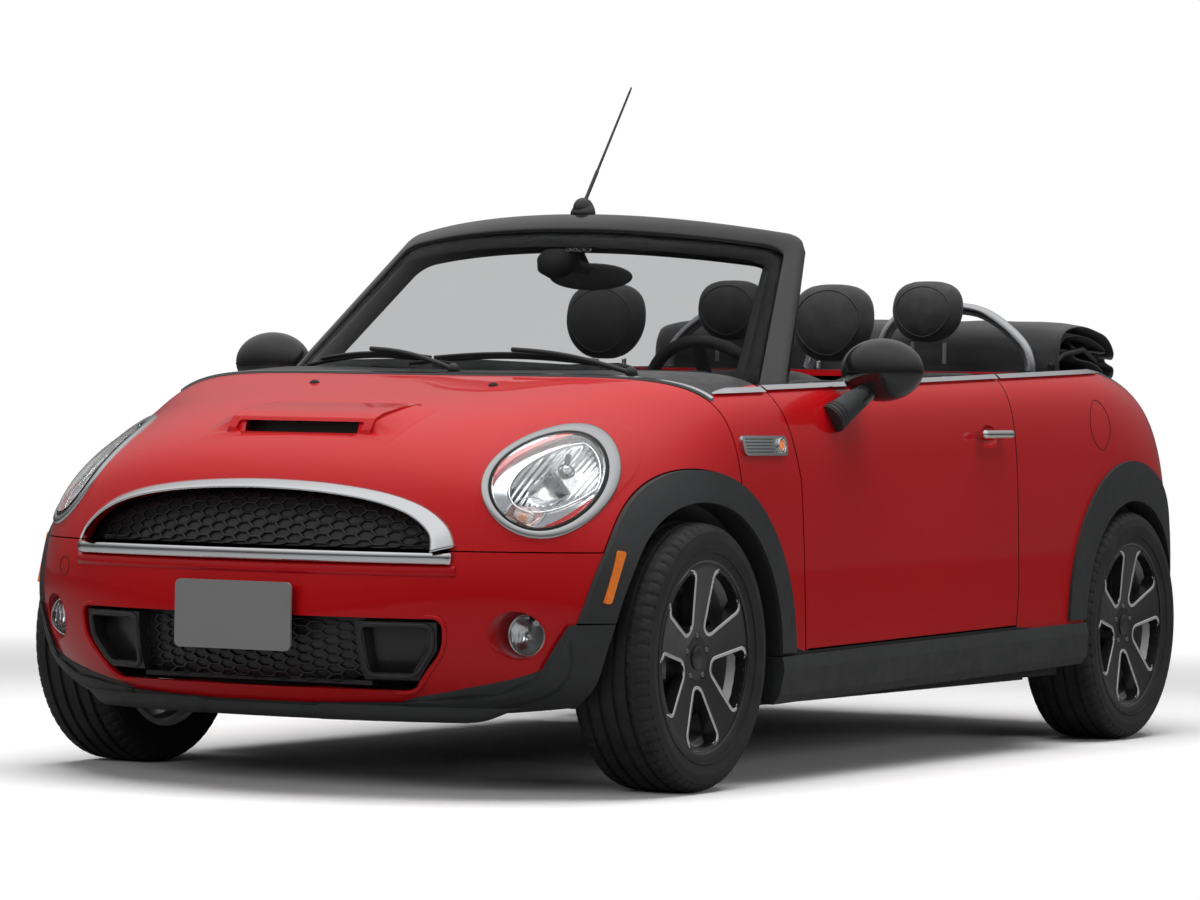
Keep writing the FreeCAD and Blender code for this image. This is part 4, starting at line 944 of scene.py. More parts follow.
for side, sign in SIDES:
    surface = nose_surface(sign)
    lamp_out = (surface(0, 0) - surface(0, 0, 0.01)).normalized()

    def old_edge(angle):
        """How far the opening in the bonnet reaches along a direction from the lamp's middle."""
        reach = 1.0
        while True:
            a, b = oval_place(reach, angle)
            if in_opening(a, b) > 1.0:
                return reach
            reach += 0.01

    edges = {k: old_edge(2 * math.pi * k / 160) for k in range(160)}

    def filler(i, angle):
        k = round(angle * 160 / (2 * math.pi)) % 160
        start = 1.06
        reach = start + (max(edges[k] + 0.05, start + 0.06) - start) * i / 9
        a, b = oval_place(reach, angle)
        place, _ = hit(LAMP_TREE, (3, sign * (LAMP.y + a), LAMP.z + b), (-1, 0, 0))
        ideal = surface(a, b, -0.0004 if i < 9 else 0.0010)
        if place is not None and in_opening(a, b) > 1.0:
            lifted = surface(a, b, -0.0004) - surface(a, b)
            ideal = place + (lifted if i < 9 else -lifted * 2.5)
        return ideal

    lamp_rings("lamp_filler_" + side, 10, 160, filler, PAINT)
    profile = [(1.165, 0.0010), (1.160, -0.0030), (1.135, -0.0052), (1.060, -0.0058), (1.012, -0.0046),
               (1.0, -0.0020), (0.998, 0.0080)]
    lamp_rings("lamp_bezel_" + side, 7, 160,
               lambda i, angle: surface(*oval_place(profile[i][0], angle), profile[i][1]), SATIN_CHROME)
    seal = [(1.004, -0.0010), (0.990, -0.0030), (0.955, -0.0026), (0.945, 0.0010), (0.945, 0.0100)]
    lamp_rings("lamp_seal_" + side, 5, 160,
               lambda i, angle: surface(*oval_place(seal[i][0], angle), seal[i][1]), SEAL)
    pane = lamp_rings("lamp_pane_" + side, 25, 128,
                      lambda i, angle: surface(*oval_place(0.95 * i / 24, angle),
                                               -0.0045 - 0.0030 * (1 - (i / 24) ** 2)), CLEAR)
    modifier(pane, "SOLIDIFY", thickness=0.0020, offset=-1.0)

    def bowl_depth(a, b):
        main, turn = main_cup(a, b), turn_cup(a, b)
        flute = 0.0013 * math.cos(a * 640) if 0.08 < main < 0.72 and turn < 0 else 0.0
        collar = 0.0035 if -0.10 < main < 0.0 and turn < 0 else 0.0
        deep = 0.0125 + max(0.044 * max(main, 0.0), 0.024 * max(turn, 0.0)) + flute - collar
        rim = min(1.0, max(0.0, (math.hypot(a / 0.105, b / 0.125) - 0.86) / 0.09))
        rim = rim * rim * (3 - 2 * rim)
        return deep * (1 - rim) - 0.0012 * rim

    bowl = lamp_rings("lamp_bowl_" + side, 61, 160,
                      lambda i, angle: surface(*oval_place(0.95 * i / 60, angle), 0.0) - lamp_out *
                      bowl_depth(*oval_place(0.95 * i / 60, angle)), REFLECTOR)
    bowl.data.materials.append(DARK_CHROME)
    bowl.data.materials.append(PALE_LENS)
    for face in bowl.data.polygons:
        ring = face.index // 160
        a, b = oval_place(0.95 * (ring + 0.5) / 60, 2 * math.pi * (face.index % 160 + 0.5) / 160)
        main, turn = main_cup(a, b), turn_cup(a, b)
        if turn > 0.12:
            face.material_index = 2
        elif -0.10 < main < 0.06 or -0.14 < turn <= 0.12 or 0.80 < main < 0.93:
            face.material_index = 1
    for ring_name, (a0, b0), ra, rb, rise, tone in (("main", MAIN_AT, 0.067, 0.077, 0.0085, SATIN_CHROME),
                                                    ("turn", TURN_AT, 0.033, 0.035, 0.0080, REFLECTOR)):
        points = []
        for angle in turns(96):
            a, b = a0 + ra * math.cos(angle), b0 + rb * math.sin(angle)
            back = ((a - LAMP_SHIFT) * math.cos(TILT) + b * math.sin(TILT)) / LAMP_LONG
            across = (-(a - LAMP_SHIFT) * math.sin(TILT) + b * math.cos(TILT)) / LAMP_SHORT
            reach = math.hypot(back, across)
            if reach > 0.90:
                a, b = LAMP_SHIFT + (a - LAMP_SHIFT) * 0.90 / reach, b * 0.90 / reach
            points.append(surface(a, b) - lamp_out * rise)
        tube("lamp_%s_ring_%s" % (ring_name, side), points, 0.0015, tone, "bonnet", True, 2)
    bulb = surface(0.016, 0.036) - lamp_out * 0.024
    turned("lamp_bulb_" + side, [(0.0001, 0.016), (0.007, 0.0145), (0.012, 0.010), (0.014, 0.003),
                                 (0.0142, -0.004), (0.012, -0.012), (0.0001, -0.014)], bulb, lamp_out,
           REFLECTOR, "bonnet", 40, closed=False)
    tube("lamp_bulb_stem_" + side, [bulb + Vector((0, 0, 0.010)),
                                    bulb + Vector((-0.012, 0, 0.040)) - lamp_out * 0.004],
         0.0065, SHADOW, "bonnet")
    turned("lamp_bulb_ring_" + side, [(0.0165, 0.004), (0.0185, 0.006), (0.0200, 0.002), (0.0180, -0.002)],
           bulb, lamp_out, SHADOW, "bonnet", 40)
    turn_bulb = surface(*TURN_AT) - lamp_out * 0.022
    turned("lamp_turn_bulb_" + side, [(0.0001, 0.010), (0.006, 0.008), (0.009, 0.002), (0.008, -0.006),
                                      (0.0001, -0.008)], turn_bulb, lamp_out, AMBER_SOLID, "bonnet", 32,
           closed=False)
    turned("lamp_turn_cover_" + side, [(0.0001, 0.0040), (0.012, 0.0034), (0.022, 0.0012), (0.026, -0.0010),
                                       (0.022, -0.0008), (0.012, 0.0012), (0.0001, 0.0018)],
           turn_bulb + lamp_out * 0.0105, lamp_out, CLEAR, "bonnet", 48, closed=False)
    if side == "left":
        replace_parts(bowl, "headlamps")
        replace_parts(pane, "headlamp_lenses")

BUMPER_TREE = tree_of("front_bumper", "front_valance")
for side, sign in SIDES:
    y = sign * FOG.y
    z = FOG.z
    near, _ = hit(BUMPER_TREE, (3, y + sign * 0.0505, z), (-1, 0, 0))
    middle = Vector((near.x - 0.003, y, z))
    outer = []
    pocket = []
    for angle in turns(72):
        a, b = math.cos(angle), math.sin(angle)
        place, _ = hit(BUMPER_TREE, (3, y + 0.0525 * a, z + 0.0565 * b), (-1, 0, 0))
        outer.append(place + Vector((0.0012, 0, 0)))
        pocket.append(middle + Vector((0.002, 0.0465 * a, 0.0465 * b)))
    lines = outer + [(p * 0.8 + q * 0.2) + Vector((0.001, 0, 0)) for p, q in zip(outer, pocket)] + pocket
    pod = mesh_object("fog_pocket_" + side, lines, ring_faces(3, 72), PAINT, "chassis")
    modifier(pod, "SOLIDIFY", thickness=0.0012, offset=0.0)
    cover = []
    insert = []
    around = 72
    rings = 18
    for i in range(rings + 1):
        radius = i / rings
        for angle in turns(around):
            u = radius * math.cos(angle)
            v = radius * math.sin(angle)
            flat = middle + Vector((0, u * 0.0430, v * 0.0430))
            cover.append(flat + Vector((0.004 - 0.006 * radius * radius, 0, 0)))
            ribs = 0.0011 * math.sin(u * 44) if abs(v) < 0.62 else 0.0
            insert.append(flat - Vector((0.008 + 0.026 * (1 - radius * radius) + ribs, 0, 0)))
    cover_faces = ring_faces(rings + 1, around)
    lens = mesh_object("fog_lens_" + side, cover, cover_faces, CLEAR, "chassis")
    modifier(lens, "SOLIDIFY", thickness=0.002, offset=-1)
    bowl = mesh_object("fog_reflector_" + side, insert, cover_faces, REFLECTOR, "chassis")
    if side == "left":
        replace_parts(bowl, "fog_lamps")
    turned("fog_rim_" + side, [(0.0430, -0.008), (0.0428, 0.001), (0.0445, 0.0035), (0.0472, 0.003),
                               (0.0480, -0.002), (0.0480, -0.010)], middle, (1, 0, 0), SATIN_CHROME,
           "chassis", 72)
    turned("fog_bulb_" + side, [(0.0001, 0.012), (0.008, 0.009), (0.0105, 0.0), (0.008, -0.009),
                                (0.0001, -0.012)], middle - Vector((0.014, 0, 0)), (1, 0, 0), DARK_CHROME,
           "chassis", 32, closed=False)
    tube("fog_bulb_stem_" + side, [middle + Vector((-0.014, 0, 0.008)), middle + Vector((-0.016, 0, 0.034))],
         0.004, SHADOW, "chassis")


# Small things on the body

def on_skin(tree, origin, direction, lift=0.0):
    """A place on a solid and the normal that faces the ray."""
    place, normal = hit(tree, origin, direction)
    direction = Vector(direction).normalized()
    if normal.dot(direction) > 0:
        normal = -normal
    return place + normal * lift, normal


BONNET_TREE = tree_of("bonnet")
for side, sign in SIDES:
    spot, normal = on_skin(BONNET_TREE, (fx(-9), sign * 0.244, 2), (0, 0, -1))
    turned("washer_jet_" + side, [(0.0001, 0.0075), (0.006, 0.0065), (0.010, 0.0035), (0.0125, -0.0005),
                                  (0.0125, -0.002)], spot, normal, SEAL, "bonnet", 32, closed=False)

flap = []
SIDE_TREE = tree_of("body_shell")
for angle in turns(72):
    wide = 0.062 * (1 + 0.10 * math.cos(angle * 2 + 0.6))
    x = rx(190) + wide * math.cos(angle)
    z = 0.846 + 0.066 * math.sin(angle)
    flap.append(on_skin(SIDE_TREE, (x, 2, z), (0, -1, 0), 0.0001)[0])
tube("fuel_flap_gap", flap, 0.0011, SHADOW, "chassis", True, 1)

cover_line = []
for angle in turns(48):
    cover_line.append(on_skin(BUMPER_TREE, (3, -0.560 + 0.021 * math.cos(angle),
                                            0.486 + 0.021 * math.sin(angle)), (-1, 0, 0), 0.0001)[0])
tube("tow_cover_gap", cover_line, 0.0009, SHADOW, "chassis", True, 1)

INDICATOR_TREE = tree_of("side_indicators")
for side, sign in SIDES:
    for k in range(5):
        z = 0.774 + 0.0075 * k
        row = [on_skin(INDICATOR_TREE, (fx(d), sign * 2, z), (0, -sign, 0), 0.0006)[0]
               for d in (-212, -250, -290, -335)]
        tube("indicator_rib_%s_%d" % (side, k), row, 0.0011, SATIN, "chassis", False, 1)
    spot, normal = on_skin(INDICATOR_TREE, (fx(-374), sign * 2, 0.789), (0, -sign, 0), 0.0)
    turned("indicator_bezel_" + side, [(0.0185, -0.001), (0.0185, 0.0045), (0.0165, 0.0055), (0.0150, 0.0045),
                                       (0.0150, -0.001)], spot, normal, CHROME, "chassis", 40)
    turned("indicator_lens_" + side, [(0.0001, 0.0062), (0.006, 0.0056), (0.012, 0.0035), (0.0150, 0.0),
                                      (0.0001, 0.0)], spot, normal, CLEAR, "chassis", 40, closed=False)
    turned("indicator_core_" + side, [(0.0001, 0.0016), (0.007, 0.0010), (0.009, 0.0)],
           spot, normal, AMBER_SOLID, "chassis", 24, closed=False)


# Front seats

def leaned_place(x, z, pivot_x, pivot_z, degrees):
    """A place turned about a pivot, in side view."""
    angle = math.radians(degrees)
    dx, dz = x - pivot_x, z - pivot_z
    return (pivot_x + dx * math.cos(angle) - dz * math.sin(angle),
            pivot_z + dx * math.sin(angle) + dz * math.cos(angle))


def backrest_shape(bolster, waist):
    """Side bolsters forward, a fuller middle, shoulders drawn in."""
    def shape(u, co):
        shoulders = 1 - 0.16 * max(0.0, u.z - 0.25) ** 1.6 - waist * math.exp(-((u.z + 0.1) / 0.45) ** 2)
        co.y *= shoulders
        if u.x > 0:
            ridge = math.exp(-((abs(u.y) - 0.80) / 0.17) ** 2)
            co.x += bolster * ridge * (1 - max(0.0, u.z - 0.1) * 0.5)
            co.x -= 0.010 * math.exp(-(u.y / 0.5) ** 2) * (1 - abs(u.z))
        return co
    return shape


def cushion_shape(bolster):
    """Side bolsters up, a fuller front edge."""
    def shape(u, co):
        if u.z > 0:
            ridge = math.exp(-((abs(u.y) - 0.82) / 0.16) ** 2)
            co.z += bolster * ridge * (1 - 0.3 * max(0.0, u.x))
            co.z -= 0.008 * math.exp(-(u.y / 0.5) ** 2)
            co.z += 0.006 * math.exp(-((u.x - 0.75) / 0.3) ** 2)
        return co
    return shape


def rest_shape(u, co):
    """Egg outline: full above, drawn in below, the front a little flatter than the back."""
    low = max(0.0, -u.z)
    co.y *= 1 - 0.24 * low ** 1.5
    co.x *= 1 - 0.18 * low
    if u.x > 0:
        co.x -= 0.006 * (u.y * u.y + u.z * u.z)
    return co


def piping_ring(middle, across, up):
    """Line round a head restraint, drawn in below."""
    return [(middle[0], middle[1] + across * math.cos(angle) * (1 - 0.2 * max(0.0, -math.sin(angle))),
             middle[2] + up * math.sin(angle)) for angle in turns(64)]


def arched_row(middle, half, height, bow):
    """Points of a seam across a cushion as (along, across): 25 points with a slight bow."""
    return [(middle + half * (k / 12 - 1), height + bow * math.cos((k / 12 - 1) * 1.5)) for k in range(25)]


soft_front = []
for side, sign in SIDES:
    seat = sign * SEAT_Y
    cx, cz = leaned_place(fx(-1552), 0.655, fx(-1501), 0.330, 7)
    back = soft_piece("seat_back_" + side, (0.078, 0.440, 0.640), (cx, seat, cz), -7,
                      backrest_shape(0.016, 0.05))
    pad = soft_piece("seat_cushion_" + side, (0.462, 0.452, 0.096), (fx(-1262), seat, 0.372), 0,
                     cushion_shape(0.016))
    head = soft_piece("seat_rest_" + side, (0.094, 0.230, 0.203), (fx(-1603), seat, 1.099), -6, rest_shape,
                      cap=0.012, power=2.9)
    soft_front += [back, pad, head]
    ring = piping_ring((fx(-1603), seat, 1.099), 0.094, 0.084)
    seam_on("rest_piping_" + side, head, ring, (-1, 0, 0), 0.0019, closed=True)
    for row in range(4):
        z = 0.52 + 0.095 * row
        seam_on("back_channel_%s_%d" % (side, row), back,
                [(fx(-1500), y, height) for y, height in arched_row(seat, 0.13, z, 0.012)],
                (-1, 0, 0), 0.0014)
    for turn in (1, -1):
        seam_on("back_piping_%s_%d" % (side, turn > 0), back,
                [(fx(-1500), seat + turn * (0.142 + 0.012 * math.sin(k / 24 * 3.1)),
                  0.42 + 0.022 * k) for k in range(24)],
                (-1, 0, 0), 0.0018)
        seam_on("cushion_piping_%s_%d" % (side, turn > 0), pad,
                [(fx(-1470 + 17 * k), seat + turn * 0.150, 0.5) for k in range(24)], (0, 0, -1), 0.0018)
    for row in range(4):
        x = fx(-1400 + 82 * row)
        seam_on("cushion_channel_%s_%d" % (side, row), pad,
                [(along, y, 0.5) for y, along in arched_row(seat, 0.138, x, 0.010)], (0, 0, -1), 0.0014)
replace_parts(soft_front[0], "front_seats")


# Rear bench

def bench_shape(u, co):
    """Two seating hollows with a ridge between them."""
    if u.z > 0:
        co.z -= 0.012 * (math.exp(-((abs(u.y) - 0.5) / 0.22) ** 2))
        co.z += 0.010 * math.exp(-(u.y / 0.10) ** 2)
    return co


def bench_back_shape(u, co):
    """Two hollows for the backs, lower in the middle."""
    if u.x > 0:
        co.x -= 0.010 * math.exp(-((abs(u.y) - 0.5) / 0.22) ** 2)
    co.z -= 0.030 * max(0.0, u.z) * math.exp(-(u.y / 0.12) ** 2)
    return co


cx, cz = leaned_place(rx(238), 0.745, rx(285), 0.480, 6)
rear_back = soft_piece("bench_back", (0.076, 1.062, 0.510), (cx, 0, cz), -6, bench_back_shape, cuts=26,
                       power=9.0)
rear_pad = soft_piece("bench_cushion", (0.322, 1.060, 0.106), (rx(457), 0, 0.436), 0, bench_shape, cuts=26,
                      power=9.0)
for turn, side in ((1, "left"), (-1, "right")):
    y = 0.298 * turn
    head = soft_piece("bench_rest_" + side, (0.088, 0.204, 0.168), (rx(207), y, 1.1435), -6, rest_shape,
                      cap=0.011, power=2.9)
    ring = piping_ring((rx(207), y, 1.1435), 0.082, 0.068)
    seam_on("bench_rest_piping_" + side, head, ring, (-1, 0, 0), 0.0018, closed=True)
    for row in range(3):
        seam_on("bench_channel_%s_%d" % (side, row), rear_back,
                [(rx(280), y + 0.15 * (k / 12 - 1), 0.62 + 0.105 * row) for k in range(25)], (-1, 0, 0),
                0.0014)
        seam_on("bench_cushion_channel_%s_%d" % (side, row), rear_pad,
                [(rx(360 + 70 * row), y + 0.16 * (k / 12 - 1), 0.6) for k in range(25)], (0, 0, -1), 0.0014)
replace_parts(rear_back, "rear_seat")


# Folded roof

def fold_line():
    """Side view of the folded cloth, from the front of the stack back: layers with rounded folds."""
    return [(rx(44), 0.985), (rx(50), 0.985 + 0.055), (rx(40), 1.082), (rx(8), 1.112), (rx(-60), 1.124),
            (rx(-150), 1.122), (rx(-235), 1.106), (rx(-292), 1.087), (rx(-322), 1.066), (rx(-330), 1.047),
            (rx(-318), 1.032), (rx(-290), 1.032), (rx(-262), 1.036), (rx(-268), 1.020), (rx(-296), 1.012),
            (rx(-324), 1.006), (rx(-332), 0.990), (rx(-318), 0.975), (rx(-270), 0.972), (rx(-190), 0.970)]


def smooth_line(points):
    """An open line with its corners cut three times over; the ends stay."""
    for _ in range(3):
        softer = [points[0]]
        for a, b in zip(points, points[1:]):
            softer.append(tuple(p * 0.75 + q * 0.25 for p, q in zip(a, b)))
            softer.append(tuple(p * 0.25 + q * 0.75 for p, q in zip(a, b)))
        softer.append(points[-1])
        points = softer
    return points


def folded_sheet(name, line, half, wave, seed):
    """A cloth laid along a line in side view, across the car, with soft waves and drooping edges."""
    verts = []
    across_steps = 72
    shift = Vector((seed * 3.1, seed * 1.7, seed * 2.3))
    for j in range(across_steps + 1):
        y = half * (2 * j / across_steps - 1)
        edge = max(0.0, abs(y) / half - 0.86) / 0.14
        for x, z in line:
            place = Vector((x, y, z))
            ripple = noise.noise(Vector((x * 6, y * 7, z * 22)) + shift) * wave
            fine = noise.noise(Vector((x * 22, y * 26, z * 60)) + shift) * wave * 0.3
            place.z += ripple + fine - 0.012 * edge ** 2 * max(0.0, (z - 1.0) / 0.12)
            place.x += noise.noise(Vector((y * 9, z * 30, x * 4)) + shift) * wave * 0.6
            verts.append(place)
    made = mesh_object(name, verts, row_faces(across_steps + 1, len(line)), CANVAS, "chassis")
    modifier(made, "SOLIDIFY", thickness=0.0022, offset=0.0)
    return made


roof_line = smooth_line(fold_line())
length = sum(math.dist(a, b) for a, b in zip(roof_line, roof_line[1:]))
roof = folded_sheet("roof_cloth", roof_line, 0.618, 0.0055, 1)
inner_line = smooth_line([(rx(30), 0.975), (rx(26), 1.060), (rx(-20), 1.094), (rx(-120), 1.100),
                          (rx(-230), 1.080), (rx(-290), 1.060), (rx(-298), 1.050), (rx(-270), 1.046),
                          (rx(-200), 1.050), (rx(-120), 1.052), (rx(-60), 1.040), (rx(-110), 1.024),
                          (rx(-200), 1.020), (rx(-280), 0.996), (rx(-290), 0.986), (rx(-240), 0.986),
                          (rx(-120), 0.986)])
inner_length = sum(math.dist(a, b) for a, b in zip(inner_line, inner_line[1:]))
inner_roof = folded_sheet("roof_lining", inner_line, 0.606, 0.0035, 2)
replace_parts(roof, "soft_top")
for k, (x, z) in enumerate(((rx(10), 1.070), (rx(-110), 1.078), (rx(-226), 1.062))):
    tube("roof_bow_%d" % k, [(x, -0.590, z - 0.030), (x, -0.560, z), (x, -0.2, z + 0.006),
                             (x, 0.2, z + 0.006), (x, 0.560, z), (x, 0.590, z - 0.030)], 0.009, SATIN,
         "chassis", False, 3)
for side, sign in SIDES:
    tube("roof_link_" + side, [(rx(60), sign * 0.597, 1.000), (rx(-20), sign * 0.600, 1.035),
                               (rx(-150), sign * 0.600, 1.050),
                               (rx(-250), sign * 0.597, 1.020)], 0.008, SATIN, "chassis", False, 3)


# Windscreen border, wipers and inside fittings

def screen_point(u, v, inside_by=0.0):
    """A point of the windscreen: u from the base to the top, v from side to side."""
    half = 0.700 + (0.556 - 0.700) * u
    x = fx(-238 - 597 * u) - (0.362 - 0.217 * u) * abs(v) ** 2.4
    z = 0.939 + 0.413 * u - (0.009 + 0.040 * u) * v * v
    return Vector((x - 0.57 * inside_by, v * half, z - 0.82 * inside_by))


def screen_path(side_v, top_u, corner_u, corner_v, steps=14):
    """Line up one pillar, across the header and down the other pillar."""
    line = [(-0.045 + (top_u - corner_u + 0.045) * k / steps, side_v) for k in range(steps)]
    for k in range(9):
        angle = math.pi / 2 * k / 8
        line.append((top_u - corner_u + corner_u * math.sin(angle),
                     side_v - corner_v + corner_v * math.cos(angle)))
    line += [(top_u, (side_v - corner_v) * (1 - k / steps)) for k in range(1, steps)]
    return line + [(top_u, 0.0)] + [(u, -v) for u, v in reversed(line)]


SCREEN_OUTER = screen_path(1.0, 1.0, 0.045, 0.06)
SCREEN_INNER = screen_path(0.895, 0.815, 0.07, 0.10)
TRIM_INNER = screen_path(0.870, 0.885, 0.07, 0.10)


def screen_band(name, inner, rows, material):
    """A closed section drawn along the surround: rows of (share of the way to the inner line, depth)."""
    verts = []
    for (u0, v0), (u1, v1) in zip(SCREEN_OUTER, inner):
        for share, depth in rows:
            verts.append(screen_point(u0 + (u1 - u0) * share, v0 + (v1 - v0) * share, depth))
    size = len(rows)
    count = len(SCREEN_OUTER)
    return mesh_object(name, verts, ring_faces(count, size) + end_faces(count, size), material, "chassis")


surround = screen_band("screen_surround", SCREEN_INNER,
                       [(0.0, 0.006), (0.02, 0.001), (0.10, -0.003), (0.50, -0.003), (0.56, 0.001),
                        (0.56, 0.040), (0.10, 0.046), (0.0, 0.034)], GLOSS)
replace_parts(surround, "windscreen_frame")
screen_band("screen_trim", TRIM_INNER, [(0.55, 0.014), (0.97, 0.014), (1.0, 0.018), (1.0, 0.060),
                                        (0.9, 0.070), (0.2, 0.070), (0.15, 0.045)], SHADOW)
frit = []
frit_faces = []
for k, ((u0, v0), (u1, v1)) in enumerate(zip(SCREEN_OUTER, SCREEN_INNER)):
    wave = 0.006 * abs(math.sin(k * 1.9)) if u1 > 0.80 else 0.0
    frit += [screen_point(u0 * 0.6 + u1 * 0.4, v0 * 0.6 + v1 * 0.4, 0.0125),
             screen_point(u1 - wave, v1, 0.0125)]
    if k:
        frit_faces.append((2 * k - 2, 2 * k - 1, 2 * k + 1, 2 * k))
base = len(frit)
for k in range(41):
    v = -0.93 + 1.86 * k / 40
    rise = 0.125 - 0.05 * max(0.0, v) + 0.05 * max(0.0, (abs(v) - 0.78) / 0.15) ** 2
    frit += [screen_point(-0.02, v, 0.0125), screen_point(rise, v, 0.0125)]
    if k:
        frit_faces.append((base + 2 * k - 2, base + 2 * k - 1, base + 2 * k + 1, base + 2 * k))
black_edge = mesh_object("screen_frit", frit, frit_faces, SHADOW, "chassis")
modifier(black_edge, "SOLIDIFY", thickness=0.0008, offset=0.0)
pane = []
pane_faces = []
for i in range(25):
    for j in range(49):
        pane.append(screen_point(-0.02 + 0.965 * i / 24, -0.95 + 1.90 * j / 48, 0.006))
        if i and j:
            a = i * 49 + j
            pane_faces.append((a - 50, a - 49, a, a - 1))
pane = mesh_object("screen_pane", pane, pane_faces, WINDSCREEN, "chassis")
modifier(pane, "SOLIDIFY", thickness=0.005, offset=-1.0)
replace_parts(pane, "windscreen_glass")
for k in range(4):
    turned("sensor_ring_%d" % k, [(0.0055, -0.001), (0.0085, -0.001), (0.0085, 0.001), (0.0055, 0.001)],
           screen_point(0.792, 0.07 + 0.032 * k, 0.012), (0.57, 0, 0.82), GLOSS, "chassis", 24)
housing = screen_point(0.80, 0.0, 0.045)
turned("sensor_housing", [(0.0001, 0.030), (0.030, 0.027), (0.050, 0.012), (0.055, -0.010), (0.040, -0.030),
                          (0.0001, -0.036)], housing, (0.57, 0, 0.82), SHADOW, "chassis", 48, closed=False)
tube("mirror_stem", [housing, (fx(-890), 0, 1.215)], 0.016, SOFT_TOUCH, "chassis")

COWL_TREE = tree_of("cowl_panel", "dashboard")
blades = []
for name, pivot_y, v0, v1 in (("left", 0.500, 0.60, -0.20), ("right", 0.020, -0.02, -0.78)):
    start, _ = hit(COWL_TREE, (fx(-212), pivot_y, 2), (0, 0, -1))
    lift = Vector((0.57, 0, 0.82))
    blade = [screen_point(0.050 + 0.045 * math.sin(math.pi * k / 16), v0 + (v1 - v0) * k / 16,
                          -0.011) for k in range(17)]
    middle = blade[8] + lift * 0.016
    arm = [start + (middle - start) * (k / 12) + lift * (0.006 + 0.014 * math.sin(math.pi * k / 12))
           for k in range(13)]
    tube("wiper_arm_" + name, arm, 0.0060, SATIN, "chassis", False, 3)
    rubber_blade = tube("wiper_blade_" + name, blade, 0.0050, SEAL, "chassis", False, 3)
    tube("wiper_spine_" + name, [p + lift * 0.010 for p in blade[2:15]], 0.0042, SATIN, "chassis", False, 3)
    turned("wiper_cap_" + name, [(0.0001, 0.020), (0.010, 0.018), (0.0140, 0.010), (0.0150, -0.006)], start,
           lift, SATIN, "chassis", 32, closed=False)
    blades.append(rubber_blade)
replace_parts(blades[0], "wipers")

# Mirror stalks' feet, with ribs
for side, sign in SIDES:
    low = Vector((fx(-668), sign * 0.796, 0.852))
    high = Vector((fx(-790), sign * 0.852, 0.936))
    along = (high - low).normalized()
    body = "door_" + side
    for k in range(3):
        at = low + along * (0.006 + 0.011 * k)
        radius = 0.0368 - 0.0012 * k
        turned("mirror_foot_%s_%d" % (side, k), [(radius - 0.003, -0.003), (radius, -0.0022),
                                                 (radius + 0.0006, 0.0), (radius, 0.0022),
                                                 (radius - 0.003, 0.003)], at, along, SATIN, body, 48)
    crease = []
    for angle in turns(72):
        x = fx(-800) + 0.0622 * math.cos(angle)
        crease.append((max(x, fx(-825.5)), sign * 0.864 + 0.1062 * math.sin(angle), 0.966))
    tube("mirror_crease_" + side, crease, 0.0012, SHADOW, body, True, 1)

# Lip of the lower intake and soft frames of the ducts
LIP = [(0.475, 0.400), (0.470, 0.330), (0.392, 0.238)]
lip_outline = rounded(LIP + [(-u, v) for u, v in reversed(LIP)], 0.030, 10)
lip = []
for u, v in lip_outline:
    grown_u = u * 1.012
    grown_v = 0.319 + (v - 0.319) * 1.06
    place, _ = hit(BUMPER_TREE, (3, grown_u, grown_v), (-1, 0, 0))
    if place is not None:
        lip.append(place + Vector((0.0005, 0, 0)))
tube("intake_lip", lip, 0.0055, PAINT, "chassis", True, 4)
DUCT_TREE = tree_of("brake_ducts")
for side, sign in SIDES:
    frame_line = []
    for u, v in rounded([(0.453, 0.385), (0.449, 0.332), (0.403, 0.270), (0.300, 0.270), (0.294, 0.385)],
                        0.022):
        place, _ = hit(DUCT_TREE, (3, sign * u, v), (-1, 0, 0))
        if place is not None:
            frame_line.append(place)
    tube("duct_frame_" + side, frame_line, 0.0062, SATIN, "chassis", True, 4)


# Cabin fittings

FLOOR_TREE = tree_of("floor_pan", "body_shell")
DASH_TREE = tree_of("dashboard")


def lofted(name, sections, material):
    """A smooth body through closed sections with the same number of points."""
    verts = [Vector(p) for section in sections for p in section]
    count, size = len(sections), len(sections[0])
    made = mesh_object(name, verts, ring_faces(count, size) + end_faces(count, size), material, "chassis")
    modifier(made, "SUBSURF", levels=1, render_levels=1)


def console_section(x, half, low, high):
    """Section of the console across the car."""
    return [(x, -half, low), (x, -half, low + (high - low) * 0.7), (x, -half * 0.8, high),
            (x, 0, high + 0.003), (x, half * 0.8, high), (x, half, low + (high - low) * 0.7), (x, half, low)]


tunnel_top = hit(FLOOR_TREE, (fx(-1100), 0, 1.2), (0, 0, -1))[0].z
console = [console_section(fx(d), half, tunnel_top - 0.004, tunnel_top + rise) for d, half, rise in
           ((-770, 0.070, 0.150), (-790, 0.076, 0.150), (-880, 0.076, 0.110), (-960, 0.070, 0.075),
            (-1200, 0.068, 0.070), (-1420, 0.070, 0.090), (-1600, 0.068, 0.150), (-1660, 0.062, 0.150),
            (-1668, 0.050, 0.120))]
lofted("console", console, SOFT_TOUCH)
lever_foot = Vector((fx(-985), 0, tunnel_top + 0.074))
lever_top = lever_foot + Vector((-0.012, 0, 0.112))
tube("gear_lever", [lever_foot, lever_top], 0.0060, ALUMINIUM, "chassis")
turned("gear_gaiter", [(0.046, 0.000), (0.043, 0.010), (0.032, 0.020), (0.034, 0.026), (0.022, 0.040),
                       (0.023, 0.046), (0.011, 0.062), (0.007, 0.070)], lever_foot, (0, 0, 1), LEATHER,
       "chassis", 40, closed=False)
turned("gear_knob", [(0.0001, 0.020), (0.012, 0.018), (0.020, 0.010), (0.0225, -0.002), (0.018, -0.016),
                     (0.010, -0.026), (0.0001, -0.028)], lever_top, (0, 0, 1), LEATHER, "chassis", 40,
       closed=False)
